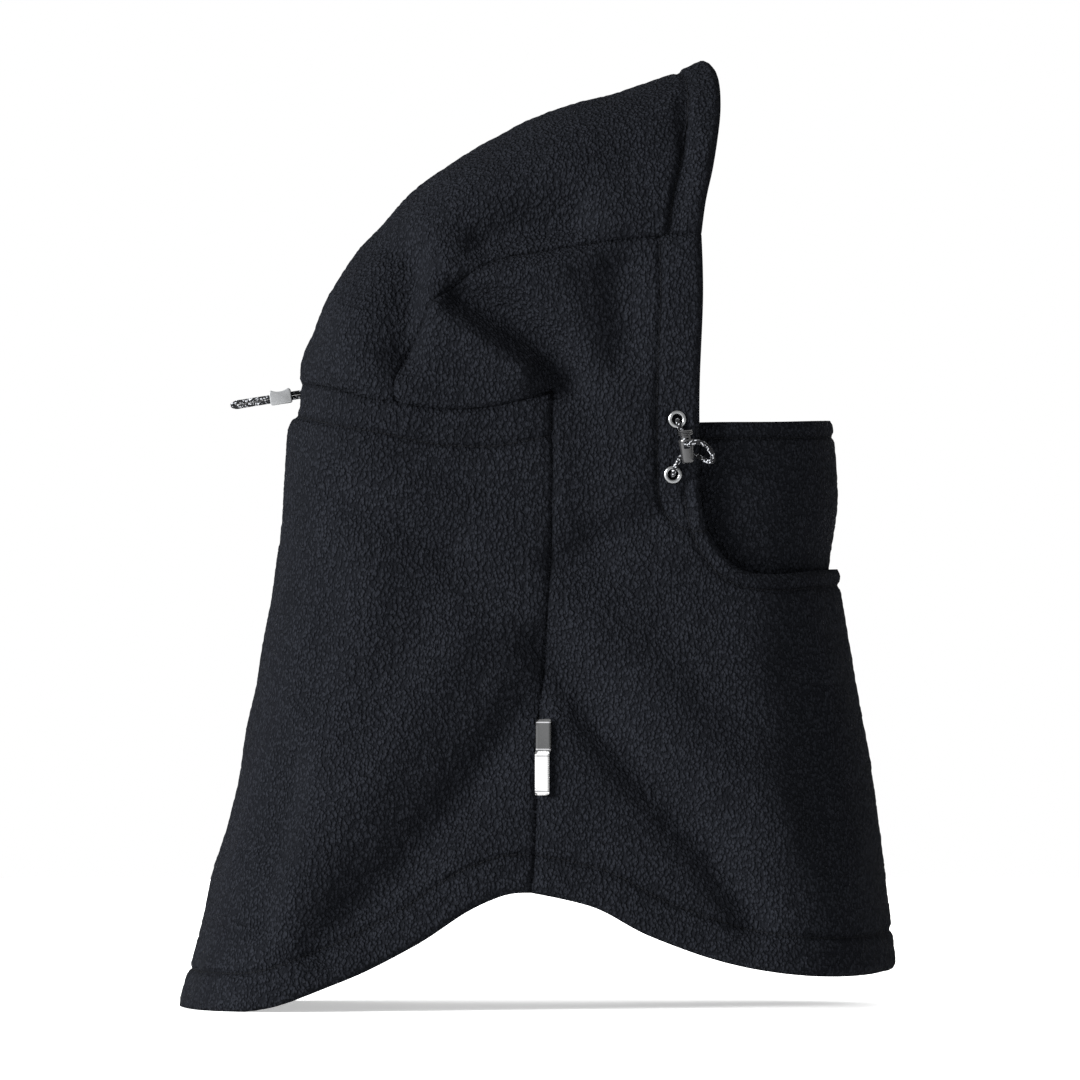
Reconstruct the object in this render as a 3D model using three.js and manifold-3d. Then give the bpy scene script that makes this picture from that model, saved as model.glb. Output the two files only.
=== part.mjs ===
// A fleece balaclava hood, stood open as it sits on a head. Millimetres, +Z up, the face looks along +X.
// The origin is the middle of the head. The wearer's right side is at -Y.
import * as THREE from 'three';
import { mergeVertices } from 'three/addons/utils/BufferGeometryUtils.js';
import Module from 'manifold-3d';

const wasm = await Module();
wasm.setup();

// ---- driving sizes ----
const FLEECE = 3.5; // one layer of the pile fleece
const GAP = 0.3; // left between neighbours that touch
const CORD = 2.5; // face drawcord diameter
const NECK_CORD = 2.3; // neck drawcord diameter
const ROUND = 2.2; // how square the hood is in plan: 2 is an ellipse
const BACK_DEPTH = 70; // how far in from the back the sides run straight
const FRONT_DEPTH = 70;
const CASING = { skin: FLEECE + GAP, roof: 8.0, floor: 9.8 }; // depths of a drawcord casing's walls
const CORD_DEPTH = 6.1; // depth of a cord's middle inside its casing

// ---- the hood's shape: height against the back line, the front line and the half width ----
const BACK_LINE = [
  [-370, -188], [-290, -168.5], [-252, -157.5], [-201, -147], [-116, -131.5], [-77, -128], [-43, -125.5],
  [-31, -119.5], [-15, -119.5], [2, -115], [42, -92], [77, -67], [102, -37], [128, 11], [145, 67], [154, 91], [159, 103],
];
const FRONT_LINE = [
  [-370, 206], [-330, 202.7], [-254, 194.6], [-137, 175], [-119.5, 172.4], [-85, 174], [-40, 172], [159, 168],
];
const HALF_WIDTH = [
  [-370, 110], [-300, 103], [-240, 95], [-180, 86], [-120, 80.5], [-60, 80], [0, 80], [40, 78], [75, 70], [105, 57],
  [130, 40], [147, 23], [155, 11], [159, 2],
];
const MASK_FRONT = [[-160, 167.4], [-121, 167.6], [-85, 172], [-60, 171.3], [-36, 169.6]];
const MASK_HALF_WIDTH = 69.5;
const RING_HEIGHTS = [
  -362, -328, -292, -255, -218, -180, -150, -124, -100, -74, -54, -40, -30, -16, 4, 26, 46, 66, 86, 103, 118, 131, 141,
  148, 153, 156.5, 158,
];

// ---- seams and edges in side view, as [x, z] ----
const RIM_TOP = [97, 63.3]; // where crown, side panel and face opening meet
const CROWN_CORNER = [-48.6, 25.4];
const NECK_CORNER = [-67, -28.6];
const SEAM_TOP = [17.3, -22.7];
const SEAM_FOOT = [5.9, -290.8];
const BRIM = [RIM_TOP, [99.5, 81.6], [103.8, 101.6], [107.3, 126], [107.4, 143], [104.5, 154.5], [97, 161]];
const CROWN_SEAM_FRONT = [RIM_TOP, [77, 61.6], [36, 57.8], [11, 53.5], [-9, 50.3], [-30, 40], CROWN_CORNER];
const CROWN_SEAM_BACK = [CROWN_CORNER, [-57, 8.6], [-67, -11.4], [-68.6, -22.7], NECK_CORNER];
const CHANNEL_BACK = [[-150, -16], [-118, -18.5], [-100, -21.6], [-85, -25.9], NECK_CORNER];
const CHANNEL_FRONT = [NECK_CORNER, [-47, -31.9], [-27, -32.4], [-5.4, -29.2], SEAM_TOP];
const CHANNEL_BELOW = [[-150, -32], [-118, -36], [-97, -41], [-75, -44.9], [-47, -50.8], [-22, -52.4], [-5, -50.8], [17.3, -46.5]];
const SIDE_SEAM = [SEAM_TOP, [17.3, -90], [14.1, -156.8], [10.3, -201], [8.1, -270], SEAM_FOOT];
const HEM_FRONT = [SEAM_FOOT, [40, -298.9], [69.2, -314], [107.6, -327.6], [145, -334.6], [186, -336], [230, -330]];
const HEM_BACK = [SEAM_FOOT, [-8.6, -292.4], [-29.2, -301.6], [-56.8, -319.5], [-97.8, -339.5], [-149.2, -354.6], [-230, -352]];
const FACE_RIM = [
  RIM_TOP, [97.8, 29.2], [96, -18], [95.9, -50], [96.4, -76], [98.9, -92.4], [105, -106], [113.5, -115.7], [125, -120.8],
  [142, -121.6], [169, -119.5], [230, -118.5],
];
const RIM_CASING_FOOT = -80; // the side casings end here, under the lower eyelets

// ---- smooth curves ----

// The value at a place, smooth through [place, value] pairs in rising order of place.
function smooth(pairs, place) {
  const last = pairs.length - 1;
  const slope = (i) => {
    const low = pairs[Math.max(i - 1, 0)];
    const high = pairs[Math.min(i + 1, last)];
    return (high[1] - low[1]) / (high[0] - low[0]);
  };
  const next = pairs.findIndex((pair) => pair[0] > place);
  const i = next < 0 ? last - 1 : Math.max(next - 1, 0);
  const [p0, v0] = pairs[i];
  const [p1, v1] = pairs[i + 1];
  const run = p1 - p0;
  const t = Math.min(Math.max((place - p0) / run, 0), 1);
  const u = 1 - t;
  return v0 * u * u * (1 + 2 * t) + slope(i) * run * t * u * u + v1 * t * t * (3 - 2 * t) - slope(i + 1) * run * t * t * u;
}

const steepness = (pairs, z) => Math.hypot(1, smooth(pairs, z + 0.5) - smooth(pairs, z - 0.5));
const spline = (points, steps) => {
  const curve = new THREE.SplineCurve(points.map(([x, z]) => new THREE.Vector2(x, z)));
  return curve.getPoints(steps).map((p) => [p.x, p.y]);
};
const shifted = (points, dx, dz = 0) => points.map(([x, z]) => [x + dx, z + dz]);

// ---- the hood's surface ----

// Half axes and centres of the plan section at height z, for a skin at this depth under the outside.
function section(z, depth) {
  const back = smooth(BACK_LINE, z);
  const front = smooth(FRONT_LINE, z);
  const backAxis = Math.min(BACK_DEPTH, 0.55 * (front - back));
  const frontAxis = Math.min(FRONT_DEPTH, 0.4 * (front - back));
  return {
    backCentre: back + backAxis,
    frontCentre: front - frontAxis,
    backAxis: Math.max(backAxis - depth * steepness(BACK_LINE, z), 2),
    frontAxis: Math.max(frontAxis - depth * steepness(FRONT_LINE, z), 2),
    halfWidth: smooth(HALF_WIDTH, z) - depth * steepness(HALF_WIDTH, z),
  };
}

// Half of the hood's width at x and z, at this depth.
function halfWidthAt(x, z, depth) {
  const s = section(z, depth);
  const behind = Math.max(s.backCentre - x, 0) / s.backAxis;
  const ahead = Math.max(x - s.frontCentre, 0) / s.frontAxis;
  const out = Math.min(Math.max(behind, ahead), 1);
  return s.halfWidth * (1 - out ** ROUND) ** (1 / ROUND);
}

// One closed plan section as [x, y], from the back round the right side to the front and home.
function ring(s, backSteps, frontSteps) {
  const power = 2 / ROUND;
  const half = [];
  for (let i = 0; i <= backSteps; i += 1) {
    const a = (Math.PI / 2) * (i / backSteps);
    half.push([s.backCentre - s.backAxis * Math.cos(a) ** power, -s.halfWidth * Math.sin(a) ** power]);
  }
  for (let i = frontSteps; i >= 0; i -= 1) {
    const a = (Math.PI / 2) * (i / frontSteps);
    half.push([s.frontCentre + s.frontAxis * Math.cos(a) ** power, -s.halfWidth * Math.sin(a) ** power]);
  }
  const other = half.slice(1, -1).reverse().map(([x, y]) => [x, -y]);
  return [...half, ...other];
}

// ---- solids ----
function weldedOf(geometry) {
  geometry.deleteAttribute('normal');
  geometry.deleteAttribute('uv');
  return mergeVertices(geometry, 1e-4);
}

function solidOf(geometry) {
  const merged = weldedOf(geometry);
  return new wasm.Manifold(new wasm.Mesh({
    numProp: 3,
    vertProperties: new Float32Array(merged.attributes.position.array),
    triVerts: new Uint32Array(merged.index.array),
  }));
}

function geometryOf(solid) {
  const mesh = solid.getMesh();
  const geometry = new THREE.BufferGeometry();
  geometry.setAttribute('position', new THREE.BufferAttribute(new Float32Array(mesh.vertProperties), 3));
  geometry.setIndex(new THREE.BufferAttribute(new Uint32Array(mesh.triVerts), 1));
  return geometry;
}

// A solid through rings of points at rising heights, each ring as [x, y] pairs, closed by fans at both ends.
function loft(rings, heights) {
  const count = rings[0].length;
  const position = [];
  const index = [];
  rings.forEach((points, level) => points.forEach(([x, y]) => position.push(x, y, heights[level])));
  for (let level = 0; level + 1 < rings.length; level += 1) {
    for (let i = 0; i < count; i += 1) {
      const a = level * count + i;
      const b = level * count + ((i + 1) % count);
      index.push(a, b, b + count, a, b + count, a + count);
    }
  }
  const cap = (level, flip) => {
    const middle = position.length / 3;
    const mean = (axis) => rings[level].reduce((sum, p) => sum + p[axis], 0) / count;
    position.push(mean(0), mean(1), heights[level]);
    for (let i = 0; i < count; i += 1) {
      const a = level * count + i;
      const b = level * count + ((i + 1) % count);
      index.push(...(flip ? [middle, b, a] : [middle, a, b]));
    }
  };
  cap(0, true);
  cap(rings.length - 1, false);
  const geometry = new THREE.BufferGeometry();
  geometry.setAttribute('position', new THREE.Float32BufferAttribute(position, 3));
  geometry.setIndex(index);
  return solidOf(geometry);
}

// All that lies at least this deep under the hood's outside.
function hoodSolid(depth) {
  const sections = RING_HEIGHTS.map((z) => section(z, depth));
  const kept = RING_HEIGHTS.filter((z, i) => sections[i].halfWidth > 1.2);
  return loft(kept.map((z) => ring(section(z, depth), 8, 6)), kept);
}
const skins = new Map();
const hoodAt = (depth) => {
  if (!skins.has(depth)) skins.set(depth, hoodSolid(depth));
  return skins.get(depth);
};
const layer = (from, to) => hoodAt(from).subtract(hoodAt(to));

// A side-view outline of [x, z] points, standing from y = low to y = high.
function prism(outline, low, high) {
  const shape = new THREE.Shape(outline.map(([x, z]) => new THREE.Vector2(x, z)));
  const geometry = new THREE.ExtrudeGeometry(shape, { depth: high - low, bevelEnabled: false });
  geometry.rotateX(Math.PI / 2);
  geometry.translate(0, high, 0);
  return solidOf(geometry);
}
const HALF_SPAN = 150;
const LEFT = [GAP / 2, HALF_SPAN];
const RIGHT = [-HALF_SPAN, -GAP / 2];
const BOTH = [-HALF_SPAN, HALF_SPAN];

// The ribbon between a line and its copy moved aside, as an outline.
function ribbon(points, left, right) {
  const moved = (distance) => points.map(([x, z], i) => {
    const [ax, az] = points[Math.max(i - 1, 0)];
    const [bx, bz] = points[Math.min(i + 1, points.length - 1)];
    const length = Math.hypot(bx - ax, bz - az);
    return [x - ((bz - az) / length) * distance, z + ((bx - ax) / length) * distance];
  });
  return [...moved(left), ...moved(right).reverse()];
}

function boxSolid(size, centre) {
  const geometry = new THREE.BoxGeometry(...size);
  geometry.translate(...centre);
  return solidOf(geometry);
}

function postSolid(radius, length, centre, axis = 'y') {
  const geometry = new THREE.CylinderGeometry(radius, radius, length, 16);
  if (axis === 'z') geometry.rotateX(Math.PI / 2);
  geometry.translate(...centre);
  return solidOf(geometry);
}

// ---- materials ----
const material = (color, roughness, metalness = 0) => new THREE.MeshStandardMaterial({ color, roughness, metalness });
const FLEECE_LOOK = () => material(0x15171c, 0.95);
const CASING_LOOK = () => material(0x1a1c21, 0.9);
const EYELET_LOOK = () => material(0x6f7377, 0.35, 0.9);
const LOCK_LOOK = () => material(0x202225, 0.3);
const REAR_LOCK_LOOK = () => material(0xa8abad, 0.35, 0.2);
const SPRING_LOOK = () => material(0x9a9da0, 0.3, 1);
const CORD_LOOK = () => material(0x1c1d20, 0.8);

const hood = new THREE.Group();

function add(name, shape, look, parent = hood) {
  const mesh = new THREE.Mesh(shape.getMesh ? geometryOf(shape) : shape, look);
  mesh.name = name;
  parent.add(mesh);
  return mesh;
}

// ---- the eyelets' places on the flat of each side ----
const SIDE_FACE = 80; // half width where the eyelets sit
const EYELETS = { upper: [84.6, -37.8], lower: [82.3, -67.6] };
const EYELET = { hole: 2.6, barrel: 3.0, cut: 3.3, flange: 4.95 };
const SIDES = { left: 1, right: -1 };

// ---- where the doubled neck cord leaves through the buttonhole ----
const CORD_EXIT_X = -119;
const CORD_EXIT_Z = -23.6;
const STRAND = NECK_CORD / 2 + 0.05; // half the spacing of the two strands
const TAIL_TILT = 0.16; // how steeply the tail falls, per mm
const REAR_LOCK_X = -130;
const BUTTONHOLE = { width: 6.6, height: 7.4 };
const fall = (x) => CORD_EXIT_Z + (x - CORD_EXIT_X) * TAIL_TILT; // height of the tail's middle

// ---- fleece panels ----
function panels() {
  const seams = [
    spline(CROWN_SEAM_FRONT, 14), spline(CROWN_SEAM_BACK, 8), spline(CHANNEL_BACK, 8), spline(CHANNEL_FRONT, 8),
    spline(SIDE_SEAM, 8),
  ];
  const [crownFront, crownBack, channelBack, channelFront, side] = seams;
  const beyond = [[RIM_TOP, [120, 64.3]], [SEAM_FOOT, [5.2, -310]]]; // carries the cuts past the edges
  const kerfs = [...seams, ...beyond].map((line) => prism(ribbon(line, -GAP / 2, GAP / 2), ...BOTH));
  const shell = kerfs.reduce((left, kerf) => left.subtract(kerf), layer(0, FLEECE));
  const rim = spline(FACE_RIM, 26);

  const crown = [
    ...spline(BRIM, 16), [97, 220], [-220, 220], ...channelBack, ...[...crownBack].reverse(), ...[...crownFront].reverse(),
  ];
  add('crown_panel', shell.intersect(prism(crown, ...BOTH)), FLEECE_LOOK());

  const sidePanel = [
    ...crownFront, ...crownBack, ...channelFront, ...side, ...spline(HEM_FRONT, 14), ...[...rim].reverse(),
  ];
  const holes = Object.values(EYELETS).map(([x, z]) => postSolid(EYELET.cut, 2 * HALF_SPAN, [x, 0, z]));
  for (const [name, span] of [['left', LEFT], ['right', RIGHT]]) {
    const cut = holes.reduce((left, hole) => left.subtract(hole), shell.intersect(prism(sidePanel, ...span)));
    add(`${name}_side_panel`, cut, FLEECE_LOOK());
  }

  const back = [
    [-220, -16], ...channelBack, ...channelFront, ...side, ...spline(HEM_BACK, 14), [-220, -352],
  ];
  const buttonhole = boxSolid([40, BUTTONHOLE.width, BUTTONHOLE.height], [-120, 0, fall(CORD_EXIT_X)]);
  add('back_panel', shell.intersect(prism(back, ...BOTH)).subtract(buttonhole), FLEECE_LOOK());
}

// ---- drawcord casings, each a channel with its open side against the fleece ----
function casingBetween(outline, hollow, span) {
  const wall = layer(CASING.skin, CASING.floor).intersect(prism(outline, ...span));
  return wall.subtract(layer(0, CASING.roof).intersect(prism(hollow, ...BOTH)));
}

function rimCasings() {
  const line = spline(FACE_RIM, 40).filter((p) => p[1] > RIM_CASING_FOOT);
  const band = (front, back) => [...shifted(line, -front), ...shifted([...line].reverse(), -back)];
  for (const [name, span] of [['left', LEFT], ['right', RIGHT]]) {
    const clear = boxSolid([60, 300, 1], [90, 0, RIM_TOP[1]]);
    add(`${name}_rim_casing`, casingBetween(band(1, 24), band(3, 21), span).subtract(clear), CASING_LOOK());
  }
  const brim = spline(BRIM, 12).filter((p) => p[1] < 150);
  const over = (front, back) => [...shifted(brim, -front), [brim.at(-1)[0] - front, 200], [brim.at(-1)[0] - back, 200],
    ...shifted([...brim].reverse(), -back)];
  const above = boxSolid([60, 300, 20], [90, 0, RIM_TOP[1] - 9.2]);
  add('brim_casing', casingBetween(over(1.2, 20), over(3.2, 17), BOTH).subtract(above), CASING_LOOK());
}

function neckCasing() {
  const top = [...spline(CHANNEL_BACK, 6), ...spline(CHANNEL_FRONT, 6).slice(1)];
  const below = spline(CHANNEL_BELOW, 12);
  const end = 15; // stops short of the side seams
  const band = (inset) => [...shifted(top, 0, -inset), ...shifted([...below].reverse(), 0, inset)];
  const cut = boxSolid([60, 300, 80], [end + 30, 0, -40]);
  add('neck_casing', casingBetween(band(1.2), band(3), BOTH).subtract(cut), CASING_LOOK());
}

// ---- the mask: a band of fleece across the mouth, inside the casings ----
function mask() {
  const heights = [-160, -140, -121, -103, -85, -72, -60, -48, -36];
  const maskRing = (z, depth) => ring({
    backCentre: 0,
    frontCentre: smooth(MASK_FRONT, z) - FRONT_DEPTH,
    backAxis: 40,
    frontAxis: FRONT_DEPTH - depth,
    halfWidth: MASK_HALF_WIDTH - depth,
  }, 2, 9);
  const outer = loft(heights.map((z) => maskRing(z, 0)), heights);
  const tall = [-190, ...heights.slice(1, -1), -10];
  const inner = loft(tall.map((z) => maskRing(Math.min(Math.max(z, -160), -36), FLEECE)), tall);
  const edge = spline([[62, -44], [75, -41], [102, -40], [140, -39.6], [171, -38.6]], 10);
  const outline = [...edge, [190, -38.6], [190, -155], [62, -155]];
  add('mask_panel', outer.subtract(inner).intersect(prism(outline, ...BOTH)), FLEECE_LOOK());
}

// ---- metal eyelets with their washers ----
function turned(profile, segments) {
  const points = profile.map(([r, h]) => new THREE.Vector2(r, h));
  const geometry = new THREE.LatheGeometry([...points, points[0]], segments);
  return weldedOf(geometry);
}

function eyelets() {
  const { hole, barrel, flange } = EYELET;
  const ringProfile = [[hole, -4.4], [barrel, -4.4], [barrel, 0.15], [flange, 0.15], [4.4, 1.2], [3.2, 1.3], [hole, 0.6]];
  const washerProfile = [[EYELET.cut, -FLEECE - 0.8], [flange, -FLEECE - 0.8], [flange, -FLEECE - 0.15], [EYELET.cut, -FLEECE - 0.15]];
  for (const [side, sign] of Object.entries(SIDES)) {
    for (const [level, [x, z]] of Object.entries(EYELETS)) {
      const seat = new THREE.Group();
      seat.position.set(x, sign * SIDE_FACE, z);
      seat.rotation.x = sign < 0 ? Math.PI : 0;
      hood.add(seat);
      add(`${side}_${level}_eyelet`, turned(ringProfile, 16), EYELET_LOOK(), seat);
      add(`${side}_${level}_washer`, turned(washerProfile, 16), EYELET_LOOK(), seat);
    }
  }
}

// ---- cords ----
function cord(points, diameter, steps) {
  const path = new THREE.CatmullRomCurve3(points.map((p) => new THREE.Vector3(...p)), false, 'centripetal');
  const section8 = new THREE.Shape();
  for (let i = 0; i < 8; i += 1) {
    const a = (Math.PI / 4) * i;
    const [x, y] = [(diameter / 2) * Math.cos(a), (diameter / 2) * Math.sin(a)];
    if (i) section8.lineTo(x, y); else section8.moveTo(x, y);
  }
  section8.closePath();
  return solidOf(new THREE.ExtrudeGeometry(section8, { steps, extrudePath: path, bevelEnabled: false }));
}

// The face drawcord inside its casings: up one side, over the brim and down the other.
function brimCord() {
  const heights = [-36.5, -25, 0, 25, 48, 68, 86, 102, 116, 127, 136];
  const rimX = (z) => 86 + 7 * Math.min(Math.max((z - 20) / 90, 0), 1);
  const side = heights.map((z) => [rimX(z), -halfWidthAt(rimX(z), z, CORD_DEPTH), z]);
  const crest = [[92.5, -5, 146.2], [92.3, 0, 147.2]];
  const left = [...side, ...crest];
  const right = left.slice(0, -1).reverse().map(([x, y, z]) => [x, -y, z]);
  add('face_drawcord', cord([...left, ...right], CORD, 52), CORD_LOOK());
}

// A free loop: out of the upper eyelet, through the lock, round in front and back into the lower eyelet.
const LOOP = [
  [84.6, 73.9, -39.2], [84.7, 77, -38.8], [84.8, 80.4, -38.5], [85.4, 82.6, -40.6], [87.0, 82.6, -45.0], [88.6, 82.5, -48.8],
  [89.5, 83.4, -51.2], [89.6, 85.4, -51.8], [89.6, 88.6, -51.8], [89.7, 92.2, -51.8], [91.2, 95.0, -51.2],
  [94.4, 95.7, -50.2], [98.2, 94.8, -50.7], [101.4, 93.0, -53.4], [103.4, 91.0, -57.2], [103.6, 89.4, -60.1],
  [101.4, 88.0, -60.6], [98.4, 86.2, -59.2], [95.0, 84.2, -57.4], [91.2, 82.5, -56.4], [87.6, 82.4, -57.4],
  [85.0, 82.6, -60.4], [83.2, 82.6, -64.4], [82.4, 81.2, -67.2], [82.3, 78.0, -67.9], [82.2, 75.2, -68.6],
  [82.0, 73.8, -71.0], [82.0, 73.7, -75.0],
];
function faceLoops() {
  for (const [side, sign] of Object.entries(SIDES)) {
    add(`${side}_cord_loop`, cord(LOOP.map(([x, y, z]) => [x, sign * y, z]), CORD, 46), CORD_LOOK());
  }
}

// The neck drawcord: two runs inside the neck casing and a doubled tail behind the neck.
function neckCords() {
  const round = (z, degrees) => {
    const s = section(z, CORD_DEPTH);
    const a = (degrees * Math.PI) / 180;
    const power = 2 / ROUND;
    return [s.backCentre - s.backAxis * Math.cos(a) ** power, s.halfWidth * Math.sin(a) ** power, z];
  };
  for (const [side, sign] of Object.entries(SIDES)) {
    const turn = [round(-26.5, 12), round(-27.5, 22), round(-29.5, 35), round(-32.5, 50), round(-37, 66), round(-39.5, 80)];
    const along = [[-40, halfWidthAt(-40, -41, CORD_DEPTH), -41], [-14, halfWidthAt(-14, -41, CORD_DEPTH), -41],
      [8, halfWidthAt(8, -38, CORD_DEPTH), -38]];
    const route = [...turn, ...along].map(([x, y, z]) => [x, sign * y, z]);
    add(`${side}_neck_cord`, cord(route, NECK_CORD, 24), CORD_LOOK());
  }
  const strand = (x, sign, y = 0) => [x, y, fall(x) + sign * STRAND];
  const upper = [[...round(-26, 9)].map((v, i) => (i === 1 ? -v : v)), [-114.5, -2.2, -23.8], [-117.5, -0.3, -22.4]];
  const lower = [[-117.5, 0.3, -24.6], [-114.5, 2.2, -25.4], round(-26, 9)];
  const ends = [strand(-151, 1), strand(-154.2, 1), [-156.4, 0, fall(-156.4)], strand(-154.2, -1), strand(-151, -1)];
  const tail = [...upper, strand(-120, 1), strand(-130, 1), strand(-140, 1), ...ends, strand(-140, -1), strand(-130, -1),
    strand(-120, -1), ...lower];
  add('neck_cord_tail', cord(tail, NECK_CORD, 46), CORD_LOOK());
}

// ---- cord locks ----
// A coil spring along +Z that starts at the given height.
function coil(radius, wire, turns, low, high) {
  const points = [];
  for (let i = 0; i <= turns * 8; i += 1) {
    const a = (Math.PI / 4) * i;
    points.push([radius * Math.cos(a), radius * Math.sin(a), low + ((high - low) * i) / (turns * 8)]);
  }
  const path = new THREE.CatmullRomCurve3(points.map((p) => new THREE.Vector3(...p)));
  const section4 = new THREE.Shape();
  for (let i = 0; i < 4; i += 1) {
    const a = (Math.PI / 2) * i;
    const [x, y] = [(wire / 2) * Math.cos(a), (wire / 2) * Math.sin(a)];
    if (i) section4.lineTo(x, y); else section4.moveTo(x, y);
  }
  section4.closePath();
  return solidOf(new THREE.ExtrudeGeometry(section4, { steps: turns * 8, extrudePath: path, bevelEnabled: false }));
}

const lathed = (profile, segments = 16) => solidOf(turnedOnAxis(profile, segments));
function turnedOnAxis(profile, segments) {
  const geometry = new THREE.LatheGeometry(profile.map(([r, h]) => new THREE.Vector2(r, h)), segments);
  geometry.rotateX(Math.PI / 2);
  return geometry;
}

// A round push-button lock, its button up. The cord passes through along local Y.
const BARREL = { low: -9.2, high: 4.0, bore: 3.0, floor: -8.0, hole: 3.2 };
const BUTTON = { stem: 2.8, foot: -4.0, head: 4.1, headLow: 6.2, headHigh: 8.6, travel: 2.0 };
function barrelLock(name, place, tilt) {
  const group = new THREE.Group();
  group.position.set(...place);
  group.rotation.y = tilt;
  hood.add(group);
  const body = lathed([[0, BARREL.low], [2.6, BARREL.low], [3.4, -8.4], [4.1, 2.4], [4.3, 3.2], [4.1, BARREL.high], [0, BARREL.high]])
    .subtract(postSolid(BARREL.bore, 14, [0, 0, BARREL.floor + 7], 'z'))
    .subtract(boxSolid([BARREL.hole, 20, BARREL.hole + 0.6], [0, 0, 0.5]));
  add(`${name}_lock_body`, body, LOCK_LOOK(), group);
  const { stem, foot, head, headLow, headHigh, travel } = BUTTON;
  const button = lathed([[0, foot], [stem, foot], [stem, headLow], [head - 0.4, headLow], [head, headLow + 0.5],
    [head - 0.5, headLow + 1.1], [head, headLow + 1.7], [head - 0.8, headHigh], [0, headHigh]])
    .subtract(boxSolid([BARREL.hole, 20, BARREL.hole + 0.6 + travel], [0, 0, 0.5 + travel / 2]));
  add(`${name}_lock_button`, button, LOCK_LOOK(), group);
  add(`${name}_lock_spring`, coil(1.9, 0.5, 3, BARREL.floor + 0.5, foot - 0.5), SPRING_LOOK(), group);
}

// The rear lock: a flat block on the doubled cord, its button on the wearer's left.
const BLOCK = { length: 11.8, width: 13, height: 7.4 };
function rearLock() {
  const group = new THREE.Group();
  group.position.set(REAR_LOCK_X, 0, fall(REAR_LOCK_X));
  group.rotation.y = -Math.atan(TAIL_TILT);
  hood.add(group);
  const slot = { width: 2.9, height: 2 * STRAND + NECK_CORD + 0.4 };
  const outline = new THREE.Shape();
  const [a, b, r] = [BLOCK.length / 2, BLOCK.height / 2, 1.4];
  outline.moveTo(-a + r, -b);
  outline.lineTo(a - r, -b);
  outline.quadraticCurveTo(a, -b, a, -b + r);
  outline.lineTo(a, b - r);
  outline.quadraticCurveTo(a, b, a - r, b);
  outline.quadraticCurveTo(0, b - 0.7, -a + r, b);
  outline.quadraticCurveTo(-a, b, -a, b - r);
  outline.lineTo(-a, -b + r);
  outline.quadraticCurveTo(-a, -b, -a + r, -b);
  const block = new THREE.ExtrudeGeometry(outline, { depth: BLOCK.width, bevelEnabled: false, curveSegments: 5 });
  block.rotateX(Math.PI / 2);
  block.translate(0, BLOCK.width / 2, 0);
  const body = solidOf(block)
    .subtract(boxSolid([7.4, BLOCK.width, 6.0], [0, 1.5, 0]))
    .subtract(boxSolid([40, slot.width, slot.height], [0, 0, 0]));
  add('rear_lock_body', body, REAR_LOCK_LOOK(), group);
  const travel = 2;
  const button = boxSolid([7.0, 11.6, 5.6], [0, 3.2, 0])
    .add(boxSolid([8.4, 1.8, 6.2], [0, 9.8, 0]))
    .subtract(boxSolid([20, slot.width + travel, slot.height], [0, travel / 2, 0]));
  add('rear_lock_button', button, REAR_LOCK_LOOK(), group);
  const spring = coil(1.6, 0.45, 3, 0, 1.6);
  const mesh = add('rear_lock_spring', spring, SPRING_LOOK(), group);
  mesh.rotation.x = -Math.PI / 2;
  mesh.position.set(0, -4.65, 0);
}

// ---- the two woven tabs caught in the right side seam ----
const TABS = {
  upper_label: { x: [9.4, 15.9], z: [-216.4, -199.4] },
  lower_label: { x: [8.9, 15.0], z: [-239.2, -217.0] },
};
function labels() {
  for (const [name, { x, z }] of Object.entries(TABS)) {
    const middle = [(x[0] + x[1]) / 2, (z[0] + z[1]) / 2];
    const slope = smooth(HALF_WIDTH, middle[1] + 5) - smooth(HALF_WIDTH, middle[1] - 5);
    const geometry = new THREE.BoxGeometry(x[1] - x[0], 1.0, z[1] - z[0]);
    const mesh = add(name, geometry, material(name === 'upper_label' ? 0x2a2c2f : 0xd8d9da, 0.7));
    mesh.position.set(middle[0], -halfWidthAt(...middle, 0) - 1.1, middle[1]);
    mesh.rotation.x = Math.atan2(slope, 10);
  }
}

panels();
rimCasings();
neckCasing();
mask();
eyelets();
brimCord();
faceLoops();
neckCords();
for (const [side, sign] of Object.entries(SIDES)) barrelLock(side, [89.6, sign * (SIDE_FACE + 8.6), -52.3], -0.1);
rearLock();
labels();

export default hood;
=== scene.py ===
# A black fleece balaclava hood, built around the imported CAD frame. Sizes in millimetres, then metres.
# +Z is up, the face looks along +X, and the wearer's right side, the near one, is at -Y.
import math

import bmesh
import bpy
import numpy as np
from mathutils import Matrix, Vector


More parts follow.
